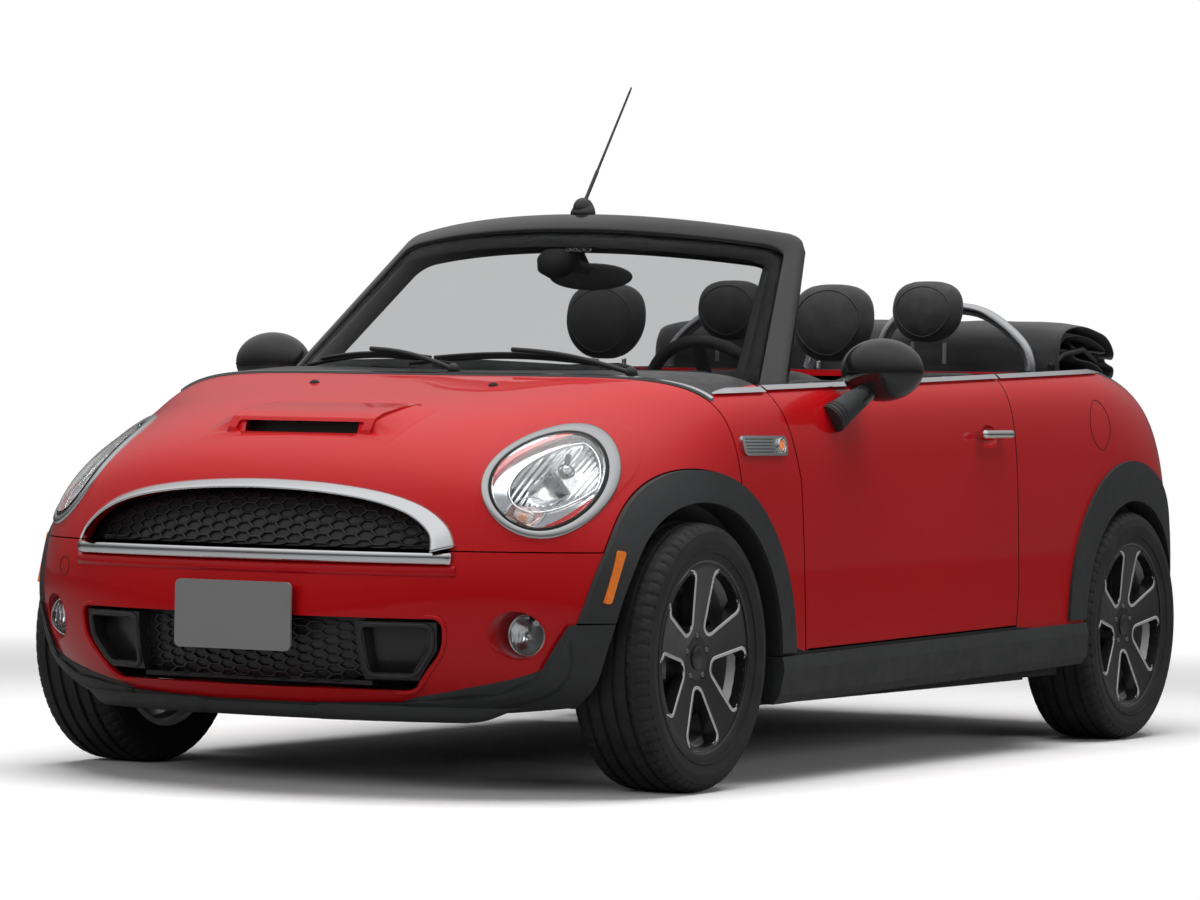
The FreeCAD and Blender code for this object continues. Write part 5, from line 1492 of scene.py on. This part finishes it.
turned("gear_ring", [(0.0470, -0.001), (0.0500, 0.002), (0.0480, 0.005), (0.0450, 0.003)], lever_foot,
       (0, 0, 1), CHROME, "chassis", 48)
brake_foot = Vector((fx(-1230), 0.020, tunnel_top + 0.074))
tube("hand_brake", [brake_foot + Vector((-0.090, 0, 0.004)), brake_foot + Vector((-0.02, 0, 0.018)),
                    brake_foot + Vector((0.060, 0, 0.044)), brake_foot + Vector((0.105, 0, 0.058))], 0.0125,
     LEATHER, "chassis")
for k, y in enumerate((-0.030, 0.032)):
    turned("cup_ring_%d" % k, [(0.034, -0.002), (0.038, 0.002), (0.035, 0.004), (0.031, 0.001),
                               (0.031, -0.014), (0.0001, -0.014)],
           (fx(-1130 - 60 * k), y * 0.1, tunnel_top + 0.076), (0, 0, 1), SILVER_TRIM, "chassis", 40,
           closed=False)


def on_dash(y, z):
    """A place on the dashboard and the normal that faces the seats."""
    place, normal = hit(DASH_TREE, (fx(-1200), y, z), (1, 0, 0))
    return place, -normal if normal.x > 0 else normal


DIAL_FACE = finish("dial_face", (0.70, 0.70, 0.68), 0.4, vary=0.03, bump=0.02)


def dash_dial(name, y, z, radius):
    """The round middle dial: ring, face, ticks and needle."""
    place, normal = on_dash(y, z)
    normal = (normal + Vector((-0.4, 0, 0.05))).normalized()
    turned(name + "_ring", [(radius, -0.030), (radius + 0.002, 0.006), (radius - 0.002, 0.013),
                            (radius - 0.010, 0.012), (radius - 0.012, 0.004), (radius - 0.012, -0.030)],
           place, normal, CHROME, "chassis", 72)
    turned(name + "_face", [(0.0001, 0.004), (radius - 0.012, 0.004), (radius - 0.012, 0.002),
                            (0.0001, 0.002)], place, normal, DIAL_FACE, "chassis", 72, closed=False)
    side_line = normal.orthogonal().normalized()
    other = normal.cross(side_line)
    for k in range(27):
        angle = math.radians(-210 + 240 * k / 26) + math.pi
        out = side_line * math.cos(angle) + other * math.sin(angle)
        a = place + normal * 0.0048 + out * (radius - 0.015)
        b = place + normal * 0.0048 + out * (radius - (0.026 if k % 2 == 0 else 0.020))
        tube("%s_tick_%d" % (name, k), [a, b], 0.0008, SHADOW, "chassis", False, 1)
    tube(name + "_needle", [place + normal * 0.006,
                            place + normal * 0.006 + (side_line * 0.5 - other * 0.86) * radius * 0.7],
         0.0012, RED_LENS, "chassis", False, 1)


dash_dial("speed_dial", 0.0, 0.812, 0.098)


def air_vent(name, y, z):
    """A round vent with four slats, in a silver ring."""
    radius = 0.036
    place, normal = on_dash(y, z)
    turned(name + "_ring", [(radius, -0.020), (radius + 0.003, 0.004), (radius, 0.009),
                            (radius - 0.006, 0.007), (radius - 0.007, -0.012), (0.0001, -0.012)], place,
           normal, SILVER_TRIM, "chassis", 48, closed=False)
    for k in range(4):
        height = (k - 1.5) * radius * 0.42
        reach = math.sqrt(max(0.0, (radius - 0.007) ** 2 - height * height))
        tube("%s_slat_%d" % (name, k), [place + Vector((0, -reach, height)) + normal * 0.002,
                                        place + Vector((0, reach, height)) + normal * 0.002], 0.0020, SATIN,
             "chassis", False, 2)


for k, y in enumerate((-0.600, -0.185, 0.185, 0.600)):
    air_vent("air_vent_%d" % k, y, 0.815)
glove = []
for u, v in rounded([(-0.560, 0.770), (-0.215, 0.770), (-0.215, 0.660), (-0.560, 0.660)], 0.03):
    place, _ = on_dash(u, v)
    if place is not None:
        glove.append(place + Vector((-0.0004, 0, 0)))
tube("glove_box_gap", glove, 0.0013, SHADOW, "chassis", True, 1)
strip_line = []
for k in range(41):
    y = -0.66 + 1.32 * k / 40
    place, _ = on_dash(y, 0.862)
    if place is not None and abs(y) > 0.115:
        strip_line.append((y, place))
for side, sign in SIDES:
    run = [place + Vector((-0.002, 0, 0)) for y, place in strip_line if y * sign > 0]
    tube("dash_strip_" + side, run, 0.0060, SILVER_TRIM, "chassis", False, 3)
for k in range(5):
    place, normal = on_dash(-0.052 + 0.026 * k, 0.672)
    turned("toggle_ring_%d" % k, [(0.0090, -0.002), (0.0100, 0.003), (0.0085, 0.005), (0.0075, 0.002)], place,
           normal, CHROME, "chassis", 24)
    tube("toggle_%d" % k, [place + normal * 0.002, place + normal * 0.022], 0.0030, CHROME, "chassis")

# Steering wheel: bare pad, spokes and stalks
wheel_mid = Vector((fx(-870), 0.370, 0.880))
wheel_axis = Vector((-math.cos(math.radians(25)), 0, math.sin(math.radians(25))))
turned("wheel_pad", [(0.0001, 0.026), (0.030, 0.025), (0.056, 0.019), (0.068, 0.008), (0.070, -0.006),
                     (0.060, -0.016)], wheel_mid, wheel_axis, SOFT_TOUCH, "steering_wheel", 48, closed=False)
turned("wheel_pad_ring", [(0.0300, 0.0242), (0.0310, 0.0262), (0.0335, 0.0258), (0.0340, 0.0235)], wheel_mid,
       wheel_axis, SILVER_TRIM, "steering_wheel", 48)
wheel_side = Vector((0, 1, 0))
wheel_up = wheel_axis.cross(wheel_side)
if wheel_up.z < 0:
    wheel_up = -wheel_up
for k, angle in enumerate((0, 180, 235, 305)):
    out = wheel_side * math.cos(math.radians(angle)) + wheel_up * math.sin(math.radians(angle))
    tube("wheel_spoke_trim_%d" % k, [wheel_mid + out * 0.066 + wheel_axis * 0.008,
                                     wheel_mid + out * 0.112 + wheel_axis * 0.010,
                                     wheel_mid + out * 0.158 + wheel_axis * 0.006], 0.0075, SILVER_TRIM,
         "steering_wheel", False, 3)
stitch = []
for angle in turns(96):
    out = wheel_side * math.cos(angle) + wheel_up * math.sin(angle)
    stitch.append(wheel_mid + out * 0.1572)
tube("wheel_seam", stitch, 0.0014, LEATHER, "steering_wheel", True, 1)
for side, sign in SIDES:
    root = wheel_mid - wheel_axis * 0.060 + Vector((0, sign * 0.030, 0))
    tube("column_stalk_" + side, [root, root + Vector((0.004, sign * 0.060, 0.010)),
                                  root + Vector((-0.006, sign * 0.135, 0.016))], 0.0075, SATIN, "chassis")

# Door linings: pull handles, rings round the speakers, release levers
for side, sign in SIDES:
    lining = tree_of("door_lining_" + side)
    body = "door_" + side

    normal = Vector((0, -sign, 0))
    place, _ = hit(lining, (fx(-740), 0, 0.480), -normal)
    turned("speaker_ring_" + side, [(0.078, -0.002), (0.082, 0.006), (0.076, 0.010), (0.070, 0.004),
                                    (0.0001, 0.002)], place, normal, SATIN, body, 64, closed=False)
    ring_line = []
    for angle in turns(96):
        spot, _ = hit(lining, (fx(-1130) + 0.235 * math.cos(angle), 0, 0.560 + 0.150 * math.sin(angle)),
                      -normal)
        if spot is not None:
            ring_line.append(spot + normal * 0.002)
    tube("door_ring_" + side, ring_line, 0.0055, SILVER_TRIM, body, True, 3)
    handle_line = []
    for k, (d, z) in enumerate(((-900, 0.735), (-905, 0.735), (-940, 0.737), (-990, 0.737), (-1020, 0.735))):
        spot, _ = hit(lining, (fx(d), 0, z), -normal)
        handle_line.append(spot + normal * (0.002 if k in (0, 4) else 0.022))
    tube("release_lever_" + side, handle_line, 0.0060, CHROME, body, False, 3)

# Belt anchors on the quarter panels
for side, sign in SIDES:
    turned("belt_anchor_" + side, [(0.0001, 0.012), (0.016, 0.010), (0.018, -0.002)],
           (fx(-1735), sign * 0.700, 0.800), (0, -sign, 0), SATIN, "chassis", 32, closed=False)


# Bright surround of the grille, bumper edge under it, markers and aerial foot

NOSE_TREE = tree_of("bonnet_trim", "bonnet", "front_bumper", "grille_bar")


def grille_band():
    """Chrome band round the mouth, wider towards its lower ends."""
    count = 64
    spots = []
    for k in range(count + 1):
        t = k / count * (len(MOUTH) - 1)
        i = min(int(t), len(MOUTH) - 2)
        a, b = Vector(MOUTH[i]), Vector(MOUTH[i + 1])
        spots.append(a.lerp(b, t - i))
    for _ in range(10):
        spots = ([spots[0]] + [(spots[i - 1] + spots[i] * 2 + spots[i + 1]) / 4 for i in range(1, count)]
                 + [spots[-1]])
    verts = []
    rows = 7
    for k, spot in enumerate(spots):
        along = (spots[min(k + 1, count)] - spots[max(k - 1, 0)]).normalized()
        out = Vector((along.y, -along.x))
        if out.dot(spot - Vector((0, 0.56))) < 0:
            out = -out
        end = abs(k / count * 2 - 1) ** 3
        outer = spot + out * 0.0205
        inner = spot - out * (0.0045 + 0.0130 * end)
        anchor, _ = hit(NOSE_TREE, (3, spot.x + out.x * 0.012, spot.y + out.y * 0.012), (-1, 0, 0))
        far, _ = hit(NOSE_TREE, (3, outer.x, outer.y), (-1, 0, 0))
        slope = (far.x - anchor.x) / 0.0085
        for r in range(rows):
            share = r / (rows - 1)
            flat = outer.lerp(inner, share)
            reach = (flat - spot).dot(out)
            x = anchor.x + slope * (reach - 0.012) + 0.0006 + 0.0046 * math.sin(math.pi * share) ** 0.6
            if r in (0, rows - 1):
                x -= 0.006
            verts.append(Vector((x, flat.x, flat.y)))
    band = mesh_object("grille_band", verts, row_faces(count + 1, rows), CHROME, "bonnet")
    modifier(band, "SOLIDIFY", thickness=0.002, offset=-1.0)
    return band


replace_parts(grille_band(), "bonnet_trim")
BAR_TREE = tree_of("grille_bar")
bar_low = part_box("grille_bar")[0].z
bar_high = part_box("grille_bar")[1].z
bar_verts = []
bar_count = 72
section = [(-0.012, 0.0015), (0.001, 0.0020), (0.0045, 0.0), (0.0058, -0.0060), (0.0056, -0.0130),
           (0.0040, -0.0200), (0.0010, -0.0240), (-0.014, -0.0240)]
for k in range(bar_count + 1):
    y = -0.492 + 0.984 * k / bar_count
    place, _ = hit(BAR_TREE, (3, y, (bar_low + bar_high) / 2), (-1, 0, 0))
    for depth, height in section:
        bar_verts.append(Vector((place.x + depth, y, bar_high + height)))
bar_faces = ring_faces(bar_count + 1, len(section)) + end_faces(bar_count + 1, len(section))
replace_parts(mesh_object("grille_bar_bright", bar_verts, bar_faces, CHROME, "chassis"), "grille_bar")
edge_verts = []
for k in range(bar_count + 1):
    y = -0.500 + 1.0 * k / bar_count
    place, _ = hit(BUMPER_TREE, (3, y, bar_low - 0.030), (-1, 0, 0))
    top, _ = hit(BAR_TREE, (3, max(-0.49, min(0.49, y)), (bar_low + bar_high) / 2), (-1, 0, 0))
    for share, depth in ((0.0, 0.0006), (0.35, 0.0010), (0.7, 0.0002), (1.0, -0.008)):
        x = place.x + (top.x - 0.004 - place.x) * share + depth
        edge_verts.append(Vector((x, y, bar_low - 0.030 + 0.026 * share)))
edge = mesh_object("bumper_edge", edge_verts, row_faces(bar_count + 1, 4), PAINT, "chassis")
modifier(edge, "SOLIDIFY", thickness=0.0015, offset=0.0)

CLADDING_TREE = tree_of("arch_cladding", "front_valance", "front_bumper", "body_shell")
for side, sign in SIDES:
    corners = [(fx(374), 0.438), (fx(358), 0.437), (fx(306), 0.552), (fx(326), 0.555)]
    outline = rounded(corners, 0.006, 4)
    low = []
    high = []
    for x, z in outline:
        found, _ = hit(CLADDING_TREE, (x, sign * 2, z), (0, -sign, 0))
        place = found if found is not None else Vector((x, place.y, z))
        low.append(place + Vector((0, -sign * 0.003, 0)))
        high.append(place + Vector((0.0030, sign * 0.0062, 0)))
    count = len(outline)
    faces = ring_faces(2, count) + [tuple(range(count, 2 * count))]
    marker = mesh_object("marker_" + side, low + high, faces, AMBER_SOLID, "chassis", smooth=False)
    if side == "left":
        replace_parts(marker, "side_markers")

foot_base = screen_point(1.0, 0.0) + Vector((-0.030, 0, -0.002))
foot_sections = []
for height, half_x, half_y, shift in ((-0.006, 0.036, 0.031, 0.0), (0.004, 0.036, 0.031, 0.0),
                                      (0.016, 0.032, 0.027, -0.003), (0.028, 0.024, 0.019, -0.008),
                                      (0.036, 0.014, 0.011, -0.013), (0.040, 0.006, 0.005, -0.016)):
    foot_sections.append([foot_base + Vector((shift + half_x * math.cos(math.tau * k / 32),
                                              half_y * math.sin(math.tau * k / 32),
                                              height)) for k in range(32)])
lofted("aerial_foot", foot_sections, SATIN)
mast_base = Vector((fx(-872), 0, 1.380))
mast_line = Vector((fx(-1107), 0, 1.681)) - mast_base
tube("aerial_sleeve", [mast_base, mast_base + mast_line * 0.27], 0.0046, SATIN, "chassis")
coil = []
for k in range(420):
    t = 0.27 + 0.70 * k / 419
    angle = k * 0.9
    coil.append(mast_base + mast_line * t + Vector((0.0030 * math.cos(angle), 0.0030 * math.sin(angle), 0)))
tube("aerial_coil", coil, 0.0008, SATIN, "chassis", False, 1)


# Lip and cheeks of the front valance, fillets of the bonnet scoop

VALANCE_TREE = tree_of("front_valance", "front_bumper")
lip_verts = []
lip_count = 80
for k in range(lip_count + 1):
    y = -0.600 + 1.2 * k / lip_count
    place, _ = hit(VALANCE_TREE, (3, y, 0.204), (-1, 0, 0))
    end = min(1.0, (0.600 - abs(y)) / 0.12)
    end = end * end * (3 - 2 * end)
    for back, z in ((0.002, 0.206), (-0.0015, 0.198), (0.001, 0.186), (0.009, 0.167), (0.040, 0.167),
                    (0.046, 0.200)):
        lip_verts.append(Vector((place.x - 0.004 + (0.004 - back) * end, y, 0.202 + (z - 0.202) * end)))
mesh_object("valance_lip", lip_verts, ring_faces(lip_count + 1, 6) + end_faces(lip_count + 1, 6), CLADDING,
            "chassis")
CHEEK = [(0.36, 0.216), (0.397, 0.226), (0.45, 0.236), (0.507, 0.249), (0.56, 0.261), (0.606, 0.274),
         (0.64, 0.287), (0.666, 0.303), (0.690, 0.332), (0.704, 0.369)]
for side, sign in SIDES:
    verts = []
    for y, z in CHEEK:
        for r in range(7):
            level = z - (0.004 + 0.055 * min(1.0, (y - 0.34) / 0.12)) * r / 6
            found, slant = hit(VALANCE_TREE, (3, sign * y, level), (-1, 0, 0))
            if found is not None:
                place, normal = found, slant if slant.x > 0 else -slant
            verts.append(place + normal * (0.0014 if r else 0.0002))
    cheek = mesh_object("valance_cheek_" + side, verts, row_faces(len(CHEEK), 7), CLADDING, "chassis")
    modifier(cheek, "SOLIDIFY", thickness=0.0010, offset=0.0)
for side, sign in SIDES:
    verts = []
    for i in range(25):
        d = 500 - 250 * i / 24
        high, _ = hit(BONNET_TREE, (fx(d), sign * 0.150, 2), (0, 0, -1))
        low, _ = hit(BONNET_TREE, (fx(d), sign * 0.262, 2), (0, 0, -1))
        start = min(1.0, i / 5)
        start = start * start * (3 - 2 * start)
        for r in range(15):
            share = r / 14
            y = sign * (0.150 + 0.112 * share)
            skin, _ = hit(BONNET_TREE, (fx(d), sign * max(0.200, abs(y)), 2), (0, 0, -1))
            fall = 0.5 + 0.5 * math.cos(math.pi * share)
            z = low.z + (high.z - low.z) * fall * start + (skin.z - low.z) * (1 - fall * start)
            verts.append(Vector((fx(d), y, z - 0.0015 + (0.0027 * start if 0 < r < 14 else 0.0))))
    mesh_object("scoop_fillet_" + side, verts, row_faces(25, 15), PAINT, "bonnet")


# Tail: lamp rings and insets, handle, upper stop lamp, plate

TAIL_TREE = tree_of("tail_lamps", "body_shell", "rear_bumper", "tailgate")
for side, sign in SIDES:
    for ring_name, grow, radius, tone, lift in (("outer", 0.004, 0.0048, CHROME, 0.0),
                                                ("inner", -0.034, 0.0016, SATIN_CHROME, 0.0005)):
        line = []
        for y, z in rounded([(0.575 - grow, 0.655 - grow), (0.700 + grow, 0.655 - grow),
                             (0.700 + grow, 0.850 + grow), (0.575 - grow, 0.850 + grow)], 0.050 + grow, 10):
            place, _ = hit(TAIL_TREE, (-3, sign * y, z), (1, 0, 0))
            if place is not None:
                line.append(place + Vector((-0.0010 - lift, 0, 0)))
        tube("tail_ring_%s_%s" % (ring_name, side), line, radius, tone, "chassis", True, 3)
    inset = []
    for y, z in rounded([(0.612, 0.735), (0.663, 0.735), (0.663, 0.775), (0.612, 0.775)], 0.012, 6):
        place, _ = hit(TAIL_TREE, (-3, sign * y, z), (1, 0, 0))
        inset.append(place)
    raised = [p + Vector((-0.0028, 0, 0)) for p in inset]
    faces = ring_faces(2, len(inset)) + [tuple(range(len(inset), 2 * len(inset)))]
    mesh_object("reverse_lens_" + side, inset + raised, faces, REVERSE_LENS, "chassis", smooth=False)
GATE_TREE = tree_of("tailgate")


def gate_strip(name, half, z, height, thick, material):
    """A rounded strip across the tail that follows its skin."""
    verts = []
    count = 40
    shape = [(-0.001, -0.5), (0.6, -0.5), (1.0, -0.3), (1.0, 0.3), (0.6, 0.5), (-0.001, 0.5)]
    for k in range(count + 1):
        y = -half + 2 * half * k / count
        place, _ = hit(GATE_TREE, (-3, y, z), (1, 0, 0))
        shrink = min(1.0, math.sqrt(max(0.04, 1 - (abs(y) / half) ** 8)))
        for out, rise in shape:
            verts.append(Vector((place.x - out * thick * shrink, y, z + rise * height * shrink)))
    faces = ring_faces(count + 1, len(shape)) + end_faces(count + 1, len(shape))
    mesh_object(name, verts, faces, material, "tailgate")


gate_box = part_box("tailgate")
gate_strip("gate_handle", 0.150, gate_box[0].z + (gate_box[1].z - gate_box[0].z) * 0.60, 0.030, 0.016, CHROME)
gate_strip("gate_stop_lamp", 0.120, gate_box[1].z - 0.040, 0.014, 0.004, RED_LENS)
gate_strip("gate_plate", 0.155, gate_box[0].z + (gate_box[1].z - gate_box[0].z) * 0.30, 0.120, 0.003, PLATE)


# Floor, light and camera

def floor_material():
    """White floor that keeps the car's shadow and goes over to the white background far away."""
    material, tree, shader = new_tree("floor_white")
    output = shader.outputs[0].links[0].to_node
    geometry = tree.nodes.new("ShaderNodeNewGeometry")
    length = tree.nodes.new("ShaderNodeVectorMath")
    length.operation = "LENGTH"
    tree.links.new(geometry.outputs["Position"], length.inputs[0])
    far = ranged(tree, length.outputs["Value"], 0.0, 1.0, 3.6, 6.0)
    path = tree.nodes.new("ShaderNodeLightPath")
    also = tree.nodes.new("ShaderNodeMath")
    also.operation = "MAXIMUM"
    tree.links.new(path.outputs["Is Camera Ray"], also.inputs[0])
    tree.links.new(path.outputs["Is Transmission Ray"], also.inputs[1])
    tint = mixed(tree, also.outputs[0], (0.30, 0.30, 0.30), (0.97, 0.97, 0.97))
    tree.links.new(tint, shader.inputs["Base Color"])
    shader.inputs["Roughness"].default_value = 0.9
    shader.inputs["Specular IOR Level"].default_value = 0.0
    white = tree.nodes.new("ShaderNodeEmission")
    white.inputs["Strength"].default_value = 1.0
    blend = tree.nodes.new("ShaderNodeMixShader")
    edge = tree.nodes.new("ShaderNodeMath")
    edge.operation = "MULTIPLY"
    tree.links.new(far, edge.inputs[0])
    tree.links.new(also.outputs[0], edge.inputs[1])
    tree.links.new(edge.outputs[0], blend.inputs[0])
    tree.links.new(shader.outputs[0], blend.inputs[1])
    tree.links.new(white.outputs[0], blend.inputs[2])
    tree.links.new(blend.outputs[0], output.inputs[0])
    return material


FLOOR_HALF = 60
floor_mesh = bpy.data.meshes.new("floor")
floor_mesh.from_pydata([(-FLOOR_HALF, -FLOOR_HALF, 0), (FLOOR_HALF, -FLOOR_HALF, 0),
                        (FLOOR_HALF, FLOOR_HALF, 0), (-FLOOR_HALF, FLOOR_HALF, 0)], [], [(0, 1, 2, 3)])
floor_mesh.materials.append(floor_material())
floor = bpy.data.objects.new("floor", floor_mesh)
scene.collection.objects.link(floor)

world = bpy.data.worlds.new("studio")
scene.world = world
world.use_nodes = True
sky = world.node_tree
sky.nodes.clear()
sky_out = sky.nodes.new("ShaderNodeOutputWorld")
background = sky.nodes.new("ShaderNodeBackground")
sky.links.new(background.outputs[0], sky_out.inputs[0])
paths = sky.nodes.new("ShaderNodeLightPath")
split = sky.nodes.new("ShaderNodeSeparateXYZ")
sky.links.new(sky.nodes.new("ShaderNodeTexCoord").outputs["Generated"], split.inputs[0])


def sky_math(operation, first, second):
    """A value made from two sockets, or from a socket and a number."""
    node = sky.nodes.new("ShaderNodeMath")
    node.operation = operation
    sky.links.new(first, node.inputs[0])
    if isinstance(second, float):
        node.inputs[1].default_value = second
    else:
        sky.links.new(second, node.inputs[1])
    return node.outputs[0]


reflected = sky_math("MULTIPLY", ranged(sky, split.outputs["Z"], 0.10, 0.80, 0.05, 0.85),
                     paths.outputs["Is Glossy Ray"])
plain = sky_math("MAXIMUM", paths.outputs["Is Camera Ray"], paths.outputs["Is Transmission Ray"])
strength = sky_math("MAXIMUM", sky_math("MAXIMUM", reflected, plain), 0.11)
sky.links.new(strength, background.inputs["Strength"])
background.inputs["Color"].default_value = (1, 1, 1, 1)


def area_light(name, place, target, width, length, power):
    """A soft light aimed at a target, with no reflection of its own."""
    data = bpy.data.lights.new(name, "AREA")
    data.shape = "RECTANGLE"
    data.size = width
    data.size_y = length
    data.energy = power
    made = bpy.data.objects.new(name, data)
    scene.collection.objects.link(made)
    made.location = place
    made.rotation_euler = (Vector(target) - Vector(place)).to_track_quat("-Z", "Y").to_euler()
    made.visible_glossy = False


area_light("top", (0.3, 0.3, 4.8), (0, 0, 0), 6.5, 4.4, 400)
area_light("front", (7.5, 0.5, 2.8), (0.8, 0, 0.5), 4.0, 2.2, 130)
area_light("side", (0.5, 7.5, 2.6), (0, 0.4, 0.5), 6.0, 2.0, 110)

camera_data = bpy.data.cameras.new("camera")
camera = bpy.data.objects.new("camera", camera_data)
scene.collection.objects.link(camera)
SENSOR_WIDTH = 36.0
PHOTO_WIDTH_PIXELS = 1200
FOCAL_PIXELS = 5046.8
camera_data.sensor_width = SENSOR_WIDTH
camera_data.lens = FOCAL_PIXELS / PHOTO_WIDTH_PIXELS * SENSOR_WIDTH
camera_data.clip_end = 200.0
YAW = math.radians(-151.254)
PITCH = math.radians(-0.53)
ROLL = math.radians(-1.006)
look = Vector((math.cos(PITCH) * math.cos(YAW), math.cos(PITCH) * math.sin(YAW), math.sin(PITCH)))
right = look.cross(UP).normalized()
above = right.cross(look)
turn = Matrix.Rotation(ROLL, 3, look)
right = turn @ right
above = turn @ above
pose = Matrix((right, above, -look)).transposed().to_4x4()
pose.translation = (11.3159, 6.0977, 0.8803)
camera.matrix_world = pose
scene.camera = camera
scene.view_settings.view_transform = "Standard"
